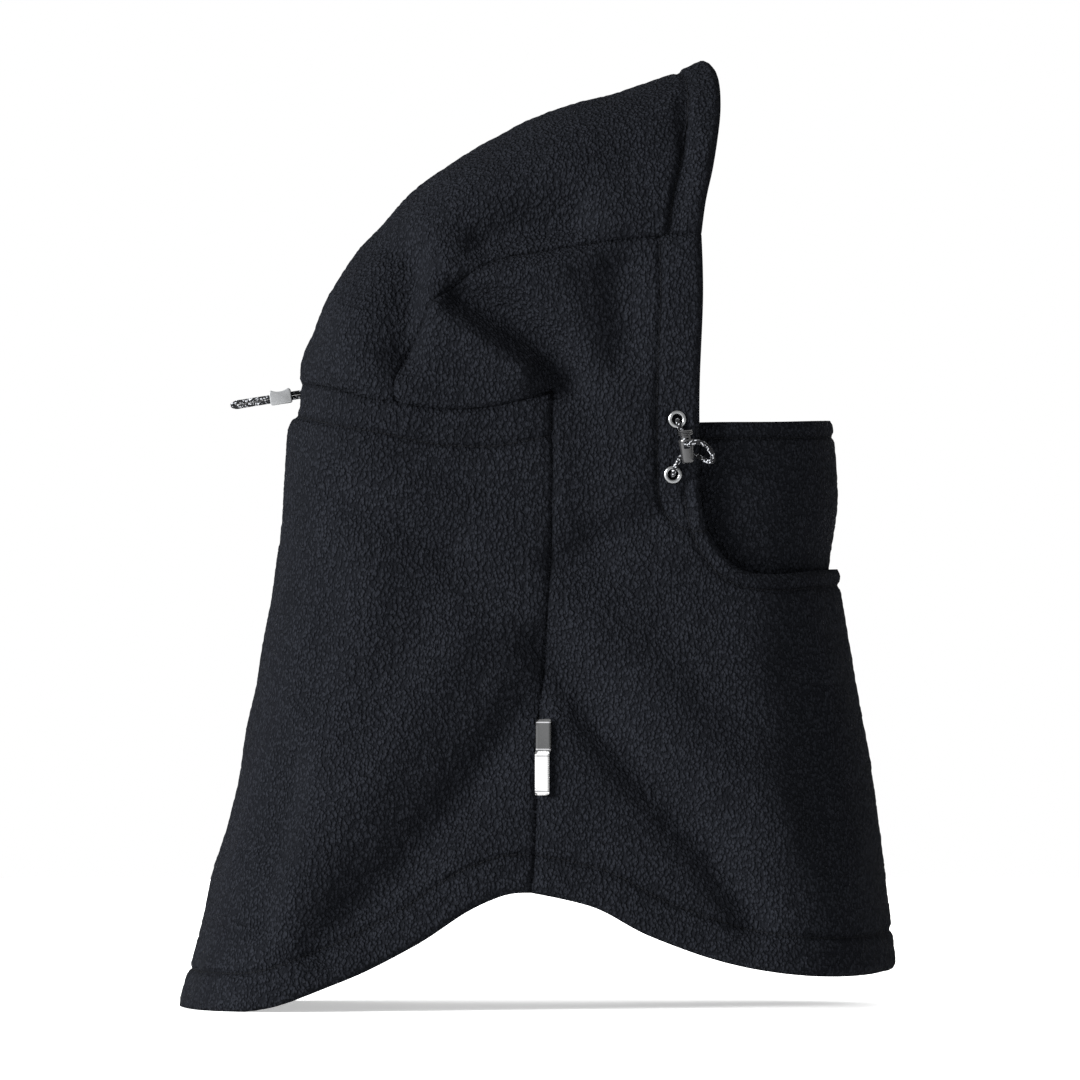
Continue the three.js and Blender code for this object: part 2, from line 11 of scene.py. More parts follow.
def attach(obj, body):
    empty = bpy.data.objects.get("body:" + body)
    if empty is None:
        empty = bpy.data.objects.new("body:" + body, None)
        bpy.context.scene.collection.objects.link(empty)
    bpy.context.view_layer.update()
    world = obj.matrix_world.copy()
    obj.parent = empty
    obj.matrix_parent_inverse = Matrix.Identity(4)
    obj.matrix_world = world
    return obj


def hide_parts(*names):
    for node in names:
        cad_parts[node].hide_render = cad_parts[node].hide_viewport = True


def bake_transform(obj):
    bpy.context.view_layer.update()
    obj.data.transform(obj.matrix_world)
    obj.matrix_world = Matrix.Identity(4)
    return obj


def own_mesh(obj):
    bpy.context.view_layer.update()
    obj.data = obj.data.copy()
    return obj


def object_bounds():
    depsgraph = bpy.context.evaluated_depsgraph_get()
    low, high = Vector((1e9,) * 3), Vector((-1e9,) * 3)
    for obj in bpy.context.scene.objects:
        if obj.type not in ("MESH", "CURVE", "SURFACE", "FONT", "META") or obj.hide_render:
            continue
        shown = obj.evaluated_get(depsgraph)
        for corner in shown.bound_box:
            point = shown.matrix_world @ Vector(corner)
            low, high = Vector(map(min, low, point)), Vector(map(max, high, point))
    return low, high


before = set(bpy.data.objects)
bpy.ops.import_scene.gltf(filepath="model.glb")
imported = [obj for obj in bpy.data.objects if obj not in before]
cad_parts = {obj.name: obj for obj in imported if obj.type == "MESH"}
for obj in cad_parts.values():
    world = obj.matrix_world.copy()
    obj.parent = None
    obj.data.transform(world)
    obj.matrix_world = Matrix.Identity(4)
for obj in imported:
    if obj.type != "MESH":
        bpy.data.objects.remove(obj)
CAD_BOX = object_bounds()
MM = 0.001

# ---- camera ----
VIEW_WIDTH = 583.8  # what the picture spans at the hood
CAMERA_DISTANCE = 8000
NEAR_SIDE = 40  # the scale is true this far in front of the middle
VIEW_CENTRE = (10.8, -102.7)
SENSOR = 36


def add_camera():
    data = bpy.data.cameras.new("camera")
    data.sensor_width = SENSOR
    data.lens = SENSOR * (CAMERA_DISTANCE - NEAR_SIDE) / VIEW_WIDTH
    camera = bpy.data.objects.new("camera", data)
    camera.location = Vector((VIEW_CENTRE[0], -CAMERA_DISTANCE, VIEW_CENTRE[1])) * MM
    camera.rotation_euler = (math.pi / 2, 0, 0)
    bpy.context.scene.collection.objects.link(camera)
    bpy.context.scene.camera = camera


# ---- the hood's shape, as in the CAD ----
FLEECE = 3.5
CORD = 2.5
NECK_CORD = 2.3
ROUND = 2.2
BACK_DEPTH = 70
FRONT_DEPTH = 70
CORD_DEPTH = 6.1
SIDE_FACE = 80
BACK_LINE = [
    (-370, -188), (-290, -168.5), (-252, -157.5), (-201, -147), (-116, -131.5), (-77, -128),
    (-43, -125.5), (-31, -119.5), (-15, -119.5), (2, -115), (42, -92), (77, -67), (102, -37), (128, 11),
    (145, 67), (154, 91), (159, 103),
]
FRONT_LINE = [
    (-370, 206), (-330, 202.7), (-254, 194.6), (-137, 175), (-119.5, 172.4), (-85, 174), (-40, 172),
    (159, 168),
]
HALF_WIDTH = [
    (-370, 110), (-300, 103), (-240, 95), (-180, 86), (-120, 80.5), (-60, 80), (0, 80), (40, 78), (75, 70),
    (105, 57), (130, 40), (147, 23), (155, 11), (159, 2),
]
MASK_FRONT = [(-160, 167.4), (-121, 167.6), (-85, 172), (-60, 171.3), (-36, 169.6)]
MASK_HALF_WIDTH = 69.5
MASK_REAR = 62
MASK_FOOT = -155
MASK_TOP = [(MASK_REAR, -44), (75, -41), (102, -40), (140, -39.6), (171, -38.6)]

# Seams and edges in side view, as (x, z).
RIM_TOP = (97, 63.3)
CROWN_CORNER = (-48.6, 25.4)
NECK_CORNER = (-67, -28.6)
SEAM_TOP = (17.3, -22.7)
SEAM_FOOT = (5.9, -290.8)
BRIM = [RIM_TOP, (99.5, 81.6), (103.8, 101.6), (107.3, 126), (107.4, 143), (104.5, 154.5), (97, 161)]
CROWN_SEAM_FRONT = [RIM_TOP, (77, 61.6), (36, 57.8), (11, 53.5), (-9, 50.3), (-30, 40), CROWN_CORNER]
CROWN_SEAM_BACK = [CROWN_CORNER, (-57, 8.6), (-67, -11.4), (-68.6, -22.7), NECK_CORNER]
CHANNEL_BACK = [(-150, -16), (-118, -18.5), (-100, -21.6), (-85, -25.9), NECK_CORNER]
CHANNEL_FRONT = [NECK_CORNER, (-47, -31.9), (-27, -32.4), (-5.4, -29.2), SEAM_TOP]
CHANNEL_BELOW = [
    (-150, -32), (-118, -36), (-97, -41), (-75, -44.9), (-47, -50.8), (-22, -52.4), (-5, -50.8),
    (17.3, -46.5),
]
SIDE_SEAM = [SEAM_TOP, (17.3, -90), (14.1, -156.8), (10.3, -201), (8.1, -270), SEAM_FOOT]
HEM_FRONT = [SEAM_FOOT, (40, -298.9), (69.2, -314), (107.6, -327.6), (145, -334.6), (186, -336), (230, -330)]
HEM_BACK = [
    SEAM_FOOT, (-8.6, -292.4), (-29.2, -301.6), (-56.8, -319.5), (-97.8, -339.5), (-149.2, -354.6),
    (-230, -352),
]
RIM_LOW = (96.4, -76)
RIM_TURN = (125, -120.8)
FACE_RIM = [
    RIM_TOP, (97.8, 29.2), (96, -18), (95.9, -50), RIM_LOW, (98.9, -92.4), (105, -106), (113.5, -115.7),
    RIM_TURN, (142, -121.6), (169, -119.5), (230, -118.5),
]


# ---- smooth curves ----
def smooth(pairs, place):
    """The value at a place, smooth through (place, value) pairs in rising order of place."""
    places, values = np.array(pairs, float).T
    low = np.maximum(np.arange(len(places)) - 1, 0)
    high = np.minimum(np.arange(len(places)) + 1, len(places) - 1)
    slopes = (values[high] - values[low]) / (places[high] - places[low])
    i = np.clip(np.searchsorted(places, place, side="right") - 1, 0, len(places) - 2)
    run = places[i + 1] - places[i]
    t = np.clip((place - places[i]) / run, 0, 1)
    u = 1 - t
    start = values[i] * u * u * (1 + 2 * t) + slopes[i] * run * t * u * u
    return start + values[i + 1] * t * t * (3 - 2 * t) - slopes[i + 1] * run * t * t * u


def spline(points, steps=12):
    """A curve through listed points, this many steps for each."""
    p = np.array(points, float)
    p = np.vstack([p[:1], p, p[-1:]])
    t = np.linspace(0, 1, steps, endpoint=False)[:, None]
    spans = []
    for a, b, c, d in zip(p, p[1:], p[2:], p[3:]):
        into, out = (c - a) / 2, (d - b) / 2
        cubic = (2 * b - 2 * c + into + out) * t**3 + (3 * c - 3 * b - 2 * into - out) * t**2
        spans.append(cubic + into * t + b)
    return np.vstack(spans + [p[-1:]])


def lengths(line):
    """How far along the line each of its points is."""
    return np.concatenate([[0], np.cumsum(np.linalg.norm(np.diff(line, axis=0), axis=1))])


def along(line, shares):
    """The points at these shares of a line's length."""
    far = lengths(line)
    return np.stack([np.interp(shares, far / far[-1], line[:, k]) for k in range(line.shape[1])], axis=1)


def evenly(line, count):
    return along(line, np.linspace(0, 1, count + 1))


# ---- the hood's surface ----
def half_width(x, z):
    """Half of the hood's width at x and z."""
    back, front, width = smooth(BACK_LINE, z), smooth(FRONT_LINE, z), smooth(HALF_WIDTH, z)
    back_axis = np.minimum(BACK_DEPTH, 0.55 * (front - back))
    front_axis = np.minimum(FRONT_DEPTH, 0.4 * (front - back))
    behind = np.maximum(back + back_axis - x, 0) / np.maximum(back_axis, 2)
    ahead = np.maximum(x - front + front_axis, 0) / np.maximum(front_axis, 2)
    out = np.clip(np.maximum(behind, ahead), 0, 1)
    return width * (1 - out**ROUND) ** (1 / ROUND)


def mask_half_width(x, z):
    ahead = np.maximum(x - smooth(MASK_FRONT, z) + FRONT_DEPTH, 0) / FRONT_DEPTH
    out = np.clip(ahead, 0, 1)
    return MASK_HALF_WIDTH * (1 - out**ROUND) ** (1 / ROUND)


def lifted(flat, width=half_width):
    """Side-view points set out on the wearer's right side."""
    x, z = flat[..., 0], flat[..., 1]
    return np.stack([x, -width(x, z), z], axis=-1)


def inside(line, back=BACK_LINE, front=FRONT_LINE):
    """The part of a side-view line between the back line and the front line, ending exactly on them."""
    room = np.minimum(line[:, 0] - smooth(back, line[:, 1]), smooth(front, line[:, 1]) - line[:, 0])
    kept = [p for p, r in zip(line, room) if r > 0]
    for i in range(len(line) - 1):
        if room[i] * room[i + 1] < 0:
            share = room[i] / (room[i] - room[i + 1])
            x, z = line[i] + (line[i + 1] - line[i]) * share
            edge = min(smooth(back, z), smooth(front, z), key=lambda value: abs(value - x))
            kept.insert(0 if room[i] < 0 else len(kept), np.array([edge, z]))
    return np.array(kept)


def outline(pairs, low, high):
    """The back or front line in side view, from one height to the other."""
    z = np.linspace(low, high, 500)
    return np.stack([smooth(pairs, z), z], axis=1)


# ---- grids of points ----
CELL = 1.35  # how far apart the points of the fleece are
DENSE = 700  # steps along a row before its points are set evenly


def cells(length):
    """An even number of cells for a length."""
    return 2 * max(int(round(length / CELL / 2)), 1)


def patch(first, last, left, right, across):
    """A four-sided net: its rows run from left to right, from the first line to the last."""
    u = np.asarray(across)[None, :, None]
    v = np.linspace(0, 1, len(left))[:, None, None]
    rows = (1 - v) * first[None] + v * last[None]
    columns = (1 - u) * left[:, None] + u * right[:, None]
    corners = (1 - v) * ((1 - u) * first[0] + u * first[-1]) + v * ((1 - u) * last[0] + u * last[-1])
    return rows + columns - corners


def plain_net(first, last, left, right):
    """A net whose sides already have matching counts of points."""
    return lifted(patch(first, last, left, right, np.linspace(0, 1, len(first))))


def curved_net(first, last, left, right, columns, rows, width=half_width, round_at="left"):
    """A net that reaches the middle of the back or front, its points evenly set along each row."""
    share = np.linspace(0, 1, DENSE + 1) ** 2
    share = share if round_at == "left" else 1 - share[::-1]
    flat = patch(along(first, share), along(last, share), evenly(left, rows), evenly(right, rows), share)
    deep = lifted(flat, width)
    deep[:, 0 if round_at == "left" else -1, 1] = 0
    return np.stack([evenly(row, columns) for row in deep])


def mirrored(net):
    return (net * np.array([1, -1, 1]))[:, ::-1]


# ---- the panels' nets ----
RIM_SPLIT = (96, -25)
BODY_SPLIT_FOOT = (140, -333.8)


def part_of(line, start, end):
    """The stretch of a line between the points nearest to two places."""
    a = int(np.argmin(np.linalg.norm(line - np.array(start), axis=1)))
    b = int(np.argmin(np.linalg.norm(line - np.array(end), axis=1)))
    return line[a : b + 1] if a < b else line[b : a + 1][::-1]


def crown_nets():
    brim = inside(spline(BRIM))
    nape = inside(spline(CHANNEL_BACK))
    ridge = outline(BACK_LINE, nape[0][1], brim[-1][1])
    seam = np.vstack([spline(CROWN_SEAM_BACK)[::-1], spline(CROWN_SEAM_FRONT)[::-1][1:]])
    net = curved_net(nape, brim[::-1], ridge, seam, cells(118), cells(250))
    return [net, mirrored(net)]


def back_nets():
    top = np.vstack([inside(spline(CHANNEL_BACK)), spline(CHANNEL_FRONT)[1:]])
    foot = inside(spline(HEM_BACK))[::-1]
    middle = outline(BACK_LINE, top[0][1], foot[0][1])
    net = curved_net(top, foot, middle, spline(SIDE_SEAM), cells(205), cells(300))
    return [net, mirrored(net)]


def side_nets():
    rim = inside(spline(FACE_RIM))
    side_seam = spline(SIDE_SEAM)
    hem = inside(spline(HEM_FRONT))
    split = part_of(rim, RIM_TOP, RIM_SPLIT)[-1]
    turn = part_of(rim, RIM_TOP, RIM_TURN)[-1]
    low = part_of(side_seam, SEAM_TOP, (14.9, -125))[-1]
    foot = part_of(hem, SEAM_FOOT, BODY_SPLIT_FOOT)[-1]
    wide, narrow = cells(84), cells(86)
    across = evenly(np.array([SEAM_TOP, split]), wide)
    under = np.vstack([evenly(spline(CHANNEL_FRONT), narrow), across[1:]])
    top = evenly(spline(CROWN_SEAM_FRONT)[::-1], narrow + wide)
    rows = cells(84)
    upper_rim = evenly(part_of(rim, RIM_TOP, split), rows)
    upper = plain_net(top, under, evenly(spline(CROWN_SEAM_BACK), rows), upper_rim)
    rows = cells(104)
    ledge = evenly(np.array([low, turn]), wide)
    upper_seam = evenly(part_of(side_seam, SEAM_TOP, low), rows)
    middle = plain_net(across, ledge, upper_seam, evenly(part_of(rim, split, turn), rows))
    rows = cells(195)
    border = evenly(np.array([turn, foot]), rows)
    lower_seam = evenly(part_of(side_seam, low, SEAM_FOOT), rows)
    lower = plain_net(ledge, evenly(part_of(hem, SEAM_FOOT, foot), wide), lower_seam, border)
    chest_top = part_of(rim, turn, rim[-1])
    chest_foot = part_of(hem, foot, hem[-1])
    middle_line = outline(FRONT_LINE, chest_top[-1][1], chest_foot[-1][1])
    chest = curved_net(chest_top, chest_foot, border, middle_line, cells(100), rows, round_at="right")
    return [upper, middle, lower, chest]


def mask_nets():
    top = inside(spline(MASK_TOP), back=[(-400, -400), (400, -400)], front=MASK_FRONT)
    foot = np.array([[MASK_REAR, MASK_FOOT], [float(smooth(MASK_FRONT, MASK_FOOT)), MASK_FOOT]])
    middle = outline(MASK_FRONT, top[-1][1], MASK_FOOT)
    rear = np.array([top[0], foot[0]])
    net = curved_net(top, foot, rear, middle, cells(132), cells(114), mask_half_width, "right")
    return [net, mirrored(net)]


# ---- noise and creases ----
EYELETS = [(84.6, -37.8), (82.3, -67.6)]
GRADIENTS = np.random.default_rng(11).normal(size=(256, 3))
GRADIENTS /= np.linalg.norm(GRADIENTS, axis=1)[:, None]


def noise(points, size, seed=0):
    """Smooth noise, about -1 to 1, whose lumps are about half this size."""
    p = points / size + seed * 17.3
    cell = np.floor(p).astype(np.int64)
    f = p - cell
    fade = f * f * f * (f * (f * 6 - 15) + 10)
    total = np.zeros(len(points))
    for corner in np.ndindex(2, 2, 2):
        place = cell + corner
        pick = (place[:, 0] * 73856093) ^ (place[:, 1] * 19349663) ^ (place[:, 2] * 83492791)
        weight = np.prod(np.where(np.array(corner) == 1, fade, 1 - fade), axis=1)
        total += weight * np.sum(GRADIENTS[pick & 255] * (f - corner), axis=1)
    return total * 1.6


def nearest(points, line):
    """How far each point is from a line, how far along it, and on which side of it in side view."""
    best, run, side = (np.full(len(points), value) for value in (1e9, 0.0, 1.0))
    for a, b, start in zip(line, line[1:], lengths(line)):
        step = b - a
        share = np.clip((points - a) @ step / max(step @ step, 1e-9), 0, 1)
        off = points - a - share[:, None] * step
        away = np.linalg.norm(off, axis=1)
        closer = away < best
        best[closer] = away[closer]
        run[closer] = start + share[closer] * np.linalg.norm(step)
        side[closer] = np.where(step[0] * off[:, -1] - step[-1] * off[:, 0] < 0, -1.0, 1.0)[closer]
    return best, run, side


def distance(points, line):
    return nearest(points, line)[0]


# Creases and swells in side view: (points, half width, height), a hollow being below zero.
CREASES = [
    ([(-20, 62), (0, 68), (26, 72)], 15, -12.0),
    ([(-64, 50), (-64, 24), (-64, -2)], 12, -11.0),
    ([(88, 134), (89, 100), (84, 68)], 4.5, -2.6),
    ([(-30, 30), (-8, 18), (16, 0), (24, -14)], 12, -12.0),
    ([(-44, 22), (-22, 5), (2, -12)], 9, 6.0),
    ([(54, 46), (56, 2)], 14, -6.5),
    ([(-30, 38), (10, 40), (50, 50)], 9, 2.5),
    ([(30, -30), (40, -120)], 16, -3.0),
    ([(34, 42), (74, 48)], 8, -2.5),
    ([(-88, -6), (-96, 30), (-84, 52)], 16, 3.5),
    ([(-98, -72), (-76, -88), (-40, -106)], 13, -5.5),
    ([(24, -116), (50, -100), (80, -88)], 12, -4.0),
    ([(24, -62), (56, -66)], 15, 2.5),
    ([(12, -160), (52, -214), (98, -266), (124, -304)], 12, -8.0),
    ([(40, -146), (90, -204), (142, -262)], 18, 5.0),
    ([(4, -190), (-28, -238), (-66, -282), (-108, -318)], 14, -8.0),
    ([(-34, -160), (-72, -226), (-122, -292)], 18, 5.0),
    ([(-126, -226), (-138, -306)], 11, -5.5),
    ([(-104, -120), (-112, -180)], 14, -3.5),
    ([(150, -165), (162, -250)], 14, -3.5),
    ([(-60, -62), (-20, -74), (10, -78)], 10, -2.0),
]
FAR_SIDE_CREASES = 0.8  # how deep the creases are on the side not seen


def creases(points):
    """The height of all the creases, with soft swells between them and flat ground round the eyelets."""
    flat = points[:, [0, 2]]
    height = np.zeros(len(points))
    for line, half, rise in CREASES:
        height += rise * np.exp(-((distance(flat, np.array(line, float)) / half) ** 2))
    near = np.clip((15 - points[:, 1]) / 30, 0, 1)
    height *= FAR_SIDE_CREASES + (1 - FAR_SIDE_CREASES) * near
    height += 1.4 * noise(points, 60, 3) + 0.7 * noise(points, 24, 4)
    for x, z in EYELETS:
        away = np.linalg.norm(flat - np.array([x, z]), axis=1)
        height *= np.clip((away - 5) / 9, 0, 1)
    return height


def eyelet_dents(points):
    """Where the fleece is pressed under an eyelet's flange and punched through its hole."""
    height = np.zeros(len(points))
    for x, z in EYELETS:
        away = np.hypot(points[:, 0] - x, points[:, 2] - z)
        height -= 0.7 * np.clip((7 - away) / 2, 0, 1) + 2.6 * np.clip((3.6 - away) / 1.0, 0, 1)
    return height


def grain(points):
    """The pile's curls, as lumps with valleys between."""
    bent = points + 1.2 * np.stack([noise(points, 9, 5 + k) for k in range(3)], axis=1)
    curls = np.clip(np.abs(noise(bent, 5.2, 1)) * 3.2, 0, 1)
    return 0.5 * (curls - 0.6) + 0.3 * noise(points, 3.4, 2)


# ---- closed cloth from nets ----
def welded(nets):
    """Points and quads of the nets, joined where they share points, and the quads of the coarser inside."""
    points = np.vstack([net.reshape(-1, 3) for net in nets])
    keys, ids = np.unique(np.round(points, 3), axis=0, return_inverse=True)
    ids = ids.reshape(-1)
    merged = np.zeros((len(keys), 3))
    merged[ids] = points
    fine, coarse, start = [], [], 0
    for net in nets:
        rows, columns = net.shape[:2]
        grid = ids[start : start + rows * columns].reshape(rows, columns)
        fine.append(quads(grid))
        coarse.append(quads(grid[::2, ::2]))
        start += rows * columns
    return merged, np.vstack(fine), np.vstack(coarse)


def quads(grid):
    return np.stack([grid[:-1, :-1], grid[1:, :-1], grid[1:, 1:], grid[:-1, 1:]], axis=-1).reshape(-1, 4)


def normals_of(points, faces):
    a, b, c, d = (points[faces[:, k]] for k in range(4))
    flat = np.cross(c - a, d - b)
    total = np.zeros_like(points)
    for k in range(4):
        np.add.at(total, faces[:, k], flat)
    size = np.linalg.norm(total, axis=1)
    return total / np.maximum(size, 1e-9)[:, None]


def border_of(faces):
    """Directed edges that only one face has."""
    edges = np.vstack([faces[:, [k, (k + 1) % 4]] for k in range(4)])
    edges = edges[edges[:, 0] != edges[:, 1]]
    have = set(map(tuple, edges.tolist()))
    return [edge for edge in have if (edge[1], edge[0]) not in have]


SEAM_OVERLAP = 0.8  # how far a panel's edge reaches into its neighbour's, to keep light out


def cloth(name, nets, offsets, look, nodes, body="hood"):
    """A closed piece of cloth: its outside and inside are the nets moved along their normals.
    offsets are the outer and inner moves, and the marks that its lines leave on the pile: painted shade
    beside them, and the thread."""
    outer, inner, marks = offsets
    points, fine, coarse = welded(nets)
    normals = normals_of(points, fine)
    if np.sum(normals[:, 1] * points[:, 1]) < 0:
        fine, coarse, normals = fine[:, ::-1], coarse[:, ::-1], -normals
    edge = border_of(fine)
    after = dict(edge)
    before = {b: a for a, b in edge}
    rim = sorted(after)
    out = points + normals * outer(points)[:, None]
    run = points[[after[m] for m in rim]] - points[[before[m] for m in rim]]
    outward = np.cross(run, normals[rim])
    out[rim] += SEAM_OVERLAP * outward / np.linalg.norm(outward, axis=1)[:, None]
    used = np.array(sorted(set(coarse.reshape(-1).tolist()) - set(rim)))
    inside_points = points[used] + normals[used] * inner(points[used])[:, None]
    place = np.arange(len(points))
    place[used] = len(points) + np.arange(len(used))
    faces = fine.tolist() + place[coarse[:, ::-1]].tolist()
    corners = set(coarse.reshape(-1).tolist())
    faces += [[after[m], m, before[m]] for m in rim if m not in corners]
    faces = [list(dict.fromkeys(face)) for face in faces]
    faces = [face for face in faces if len(face) > 2]
    made = piece(name, np.vstack([out, inside_points]), faces, look, nodes, body)
    for label, values in marks(points).items():
        set_attribute(made.data, label, np.concatenate([values, values[used]]))
    return made


def set_attribute(mesh, label, values):
    mesh.attributes.new(label, "FLOAT", "POINT").data.foreach_set("value", np.asarray(values, np.float32))


def line_marks(points, seams, hems, stitches):
    """How clear each point is of the painted shade beside the seams and stitch lines, and where the sewing
    thread runs: off its line, and along it.
    """
    near = to_near_side(points)
    from_lines = [distance(near, seam) for seam in seams]
    sewn = [nearest(near, edge) for edge, _ in hems]
    sewn = [(away - band, run) for (away, run, _), (_, band) in zip(sewn, hems)]
    sewn += [(away * side, run) for away, run, side in (nearest(near, line) for line in stitches)]
    off = np.full(len(points), 99.0)
    run = np.zeros(len(points))
    for away, far in sewn:
        closer = np.abs(away) < np.abs(off)
        off[closer] = away[closer]
        run[closer] = far[closer]
    # Painted shade: the fleece's colour darkens within a few millimetres of the seams and stitch lines.
    from_lines = np.min([*from_lines, np.abs(off)], axis=0)
    return {"clear_of_seam_shade": 1 - np.exp(-((from_lines / SEAM_SHADE_REACH) ** 2)), "stitch_off": off, "stitch_run": run}


def piece(name, points, faces, look, nodes, body):
    """A smooth mesh piece in place of CAD nodes, riding on a body if it has one."""
    mesh = bpy.data.meshes.new(name)
    mesh.from_pydata((np.asarray(points) * MM).tolist(), [], faces)
    mesh.polygons.foreach_set("use_smooth", [True] * len(mesh.polygons))
    mesh.materials.append(look)
    mesh.update()
    made = bpy.data.objects.new(name, mesh)
    bpy.context.scene.collection.objects.link(made)
    if body:
        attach(made, body)
    if nodes:
        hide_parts(*nodes)
    return made


# ---- how the cloth is worked along its seams, hems and stitch lines ----
SEAM_SHADE_REACH = 2.0  # how far the painted shade reaches beside a seam or stitch line
SEAM_ROLL = 3.6  # how far in from a seam the fleece rolls down
HEM_ROLL = 3.4
GRAIN_FADES = 2.5  # the curls flatten this close to a seam
STITCH_HALF = 1.7
STITCH_DEPTH = 1.5
HEM_TURN = 3.1  # the turned-in layer's thickness


def to_near_side(points):
    return np.stack([points[:, 0], -np.abs(points[:, 1]), points[:, 2]], axis=1)


def roll(away, reach, depth):
    """A quarter-round drop towards an edge."""
    share = np.clip(1 - away / reach, 0, 1)
    return -depth * (1 - np.sqrt(np.maximum(1 - share**2, 0)))


def groove(away):
    return -STITCH_DEPTH * np.exp(-((away / STITCH_HALF) ** 2))


def worked(seams, hems, stitches=()):
    """The outer and inner offsets of a panel with these seams, (edge, band width) hems and stitch lines."""

    def outer(points):
        near = to_near_side(points)
        from_seams = np.min([distance(near, seam) for seam in seams], axis=0)
        height = grain(points) * np.clip(from_seams / GRAIN_FADES, 0, 1) + creases(points)
        for seam in seams:
            away = distance(near, seam)
            height += roll(away, SEAM_ROLL, FLEECE / 2) - 0.9 * np.exp(-((away / 4.5) ** 2))
        for edge, band in hems:
            away = distance(near, edge)
            height += roll(away, HEM_ROLL, FLEECE / 2 + HEM_TURN / 2)
            height += groove(away - band) + 0.7 * np.clip(1 - away / band, 0, 1) ** 0.5 * (away < band)
        for line in stitches:
            height += groove(distance(near, line))
        return height + eyelet_dents(points)

    def inner(points):
        near = to_near_side(points)
        height = creases(points) + 0.6 * grain(points[:, [1, 2, 0]]) - FLEECE
        for seam in seams:
            height -= roll(distance(near, seam), SEAM_ROLL, FLEECE / 2)
        for edge, band in hems:
            away = distance(near, edge)
            height -= HEM_TURN / (1 + np.exp((away - band) / 0.8))
            height -= roll(away, HEM_ROLL, FLEECE / 2 + HEM_TURN / 2)
        return height

    return outer, inner, lambda points: line_marks(points, seams, hems, stitches)


# ---- materials ----
def new_material(name, **sockets):
    look = bpy.data.materials.new(name)
    look.use_nodes = True
    shader = look.node_tree.nodes["Principled BSDF"]
    for label, value in sockets.items():
        shader.inputs[label.replace("_", " ")].default_value = value
    return look, look.node_tree, shader


def texture(tree, kind, vector, **settings):
    node = tree.nodes.new(kind)
    for label, value in settings.items():
        node.inputs[label.replace("_", " ")].default_value = value
    tree.links.new(vector, node.inputs["Vector"])
    return node


def math_node(tree, operation, first, second=None):
    node = tree.nodes.new("ShaderNodeMath")
    node.operation = operation
    for i, value in enumerate([first, second]):
        if isinstance(value, (int, float)):
            node.inputs[i].default_value = value
        elif value is not None:
            tree.links.new(value, node.inputs[i])
    return node.outputs[0]


def between(tree, value, low, high, to_low=0.0, to_high=1.0):
    node = tree.nodes.new("ShaderNodeMapRange")
    node.interpolation_type = "SMOOTHSTEP"
    for label, number in (("From Min", low), ("From Max", high), ("To Min", to_low), ("To Max", to_high)):
        node.inputs[label].default_value = number
    tree.links.new(value, node.inputs["Value"])
    return node.outputs["Result"]


def mixed(tree, share, first, second):
    """A colour between two colours."""
    node = tree.nodes.new("ShaderNodeMix")
    node.data_type = "RGBA"
    ends = {socket.identifier: socket for socket in node.inputs}
    tree.links.new(share, ends["Factor_Float"])
    for label, colour in (("A_Color", first), ("B_Color", second)):
        if isinstance(colour, tuple):
            ends[label].default_value = (*colour, 1)
        else:
            tree.links.new(colour, ends[label])
    return next(socket for socket in node.outputs if socket.identifier == "Result_Color")


def bumped(tree, shader, height, deep, strength=1.0):
    node = tree.nodes.new("ShaderNodeBump")
    node.inputs["Distance"].default_value = deep
    node.inputs["Strength"].default_value = strength
    tree.links.new(height, node.inputs["Height"])
    tree.links.new(node.outputs["Normal"], shader.inputs["Normal"])


def added(tree, first, share, second):
    """share of the first value, plus the second."""
    total = math_node(tree, "MULTIPLY_ADD", first, share)
    tree.links.new(second, total.node.inputs[2])
    return total


def stretched(tree, place, scale):
    node = tree.nodes.new("ShaderNodeMapping")
    node.inputs["Scale"].default_value = scale
    tree.links.new(place, node.inputs["Vector"])
    return node.outputs["Vector"]


def object_place(tree):
    return tree.nodes.new("ShaderNodeTexCoord").outputs["Object"]


def warped(tree, place, scale, amount):
    wobble = texture(tree, "ShaderNodeTexNoise", place, Scale=scale, Detail=1.0)
    shift = tree.nodes.new("ShaderNodeVectorMath")
    shift.operation = "MULTIPLY_ADD"
    shift.inputs[1].default_value = (amount, amount, amount)
    tree.links.new(wobble.outputs["Color"], shift.inputs[0])
    tree.links.new(place, shift.inputs[2])
    return shift.outputs["Vector"]


FLEECE_DARK = (0.001, 0.0011, 0.0014)
FLEECE_LIT = (0.0081, 0.0089, 0.0113)


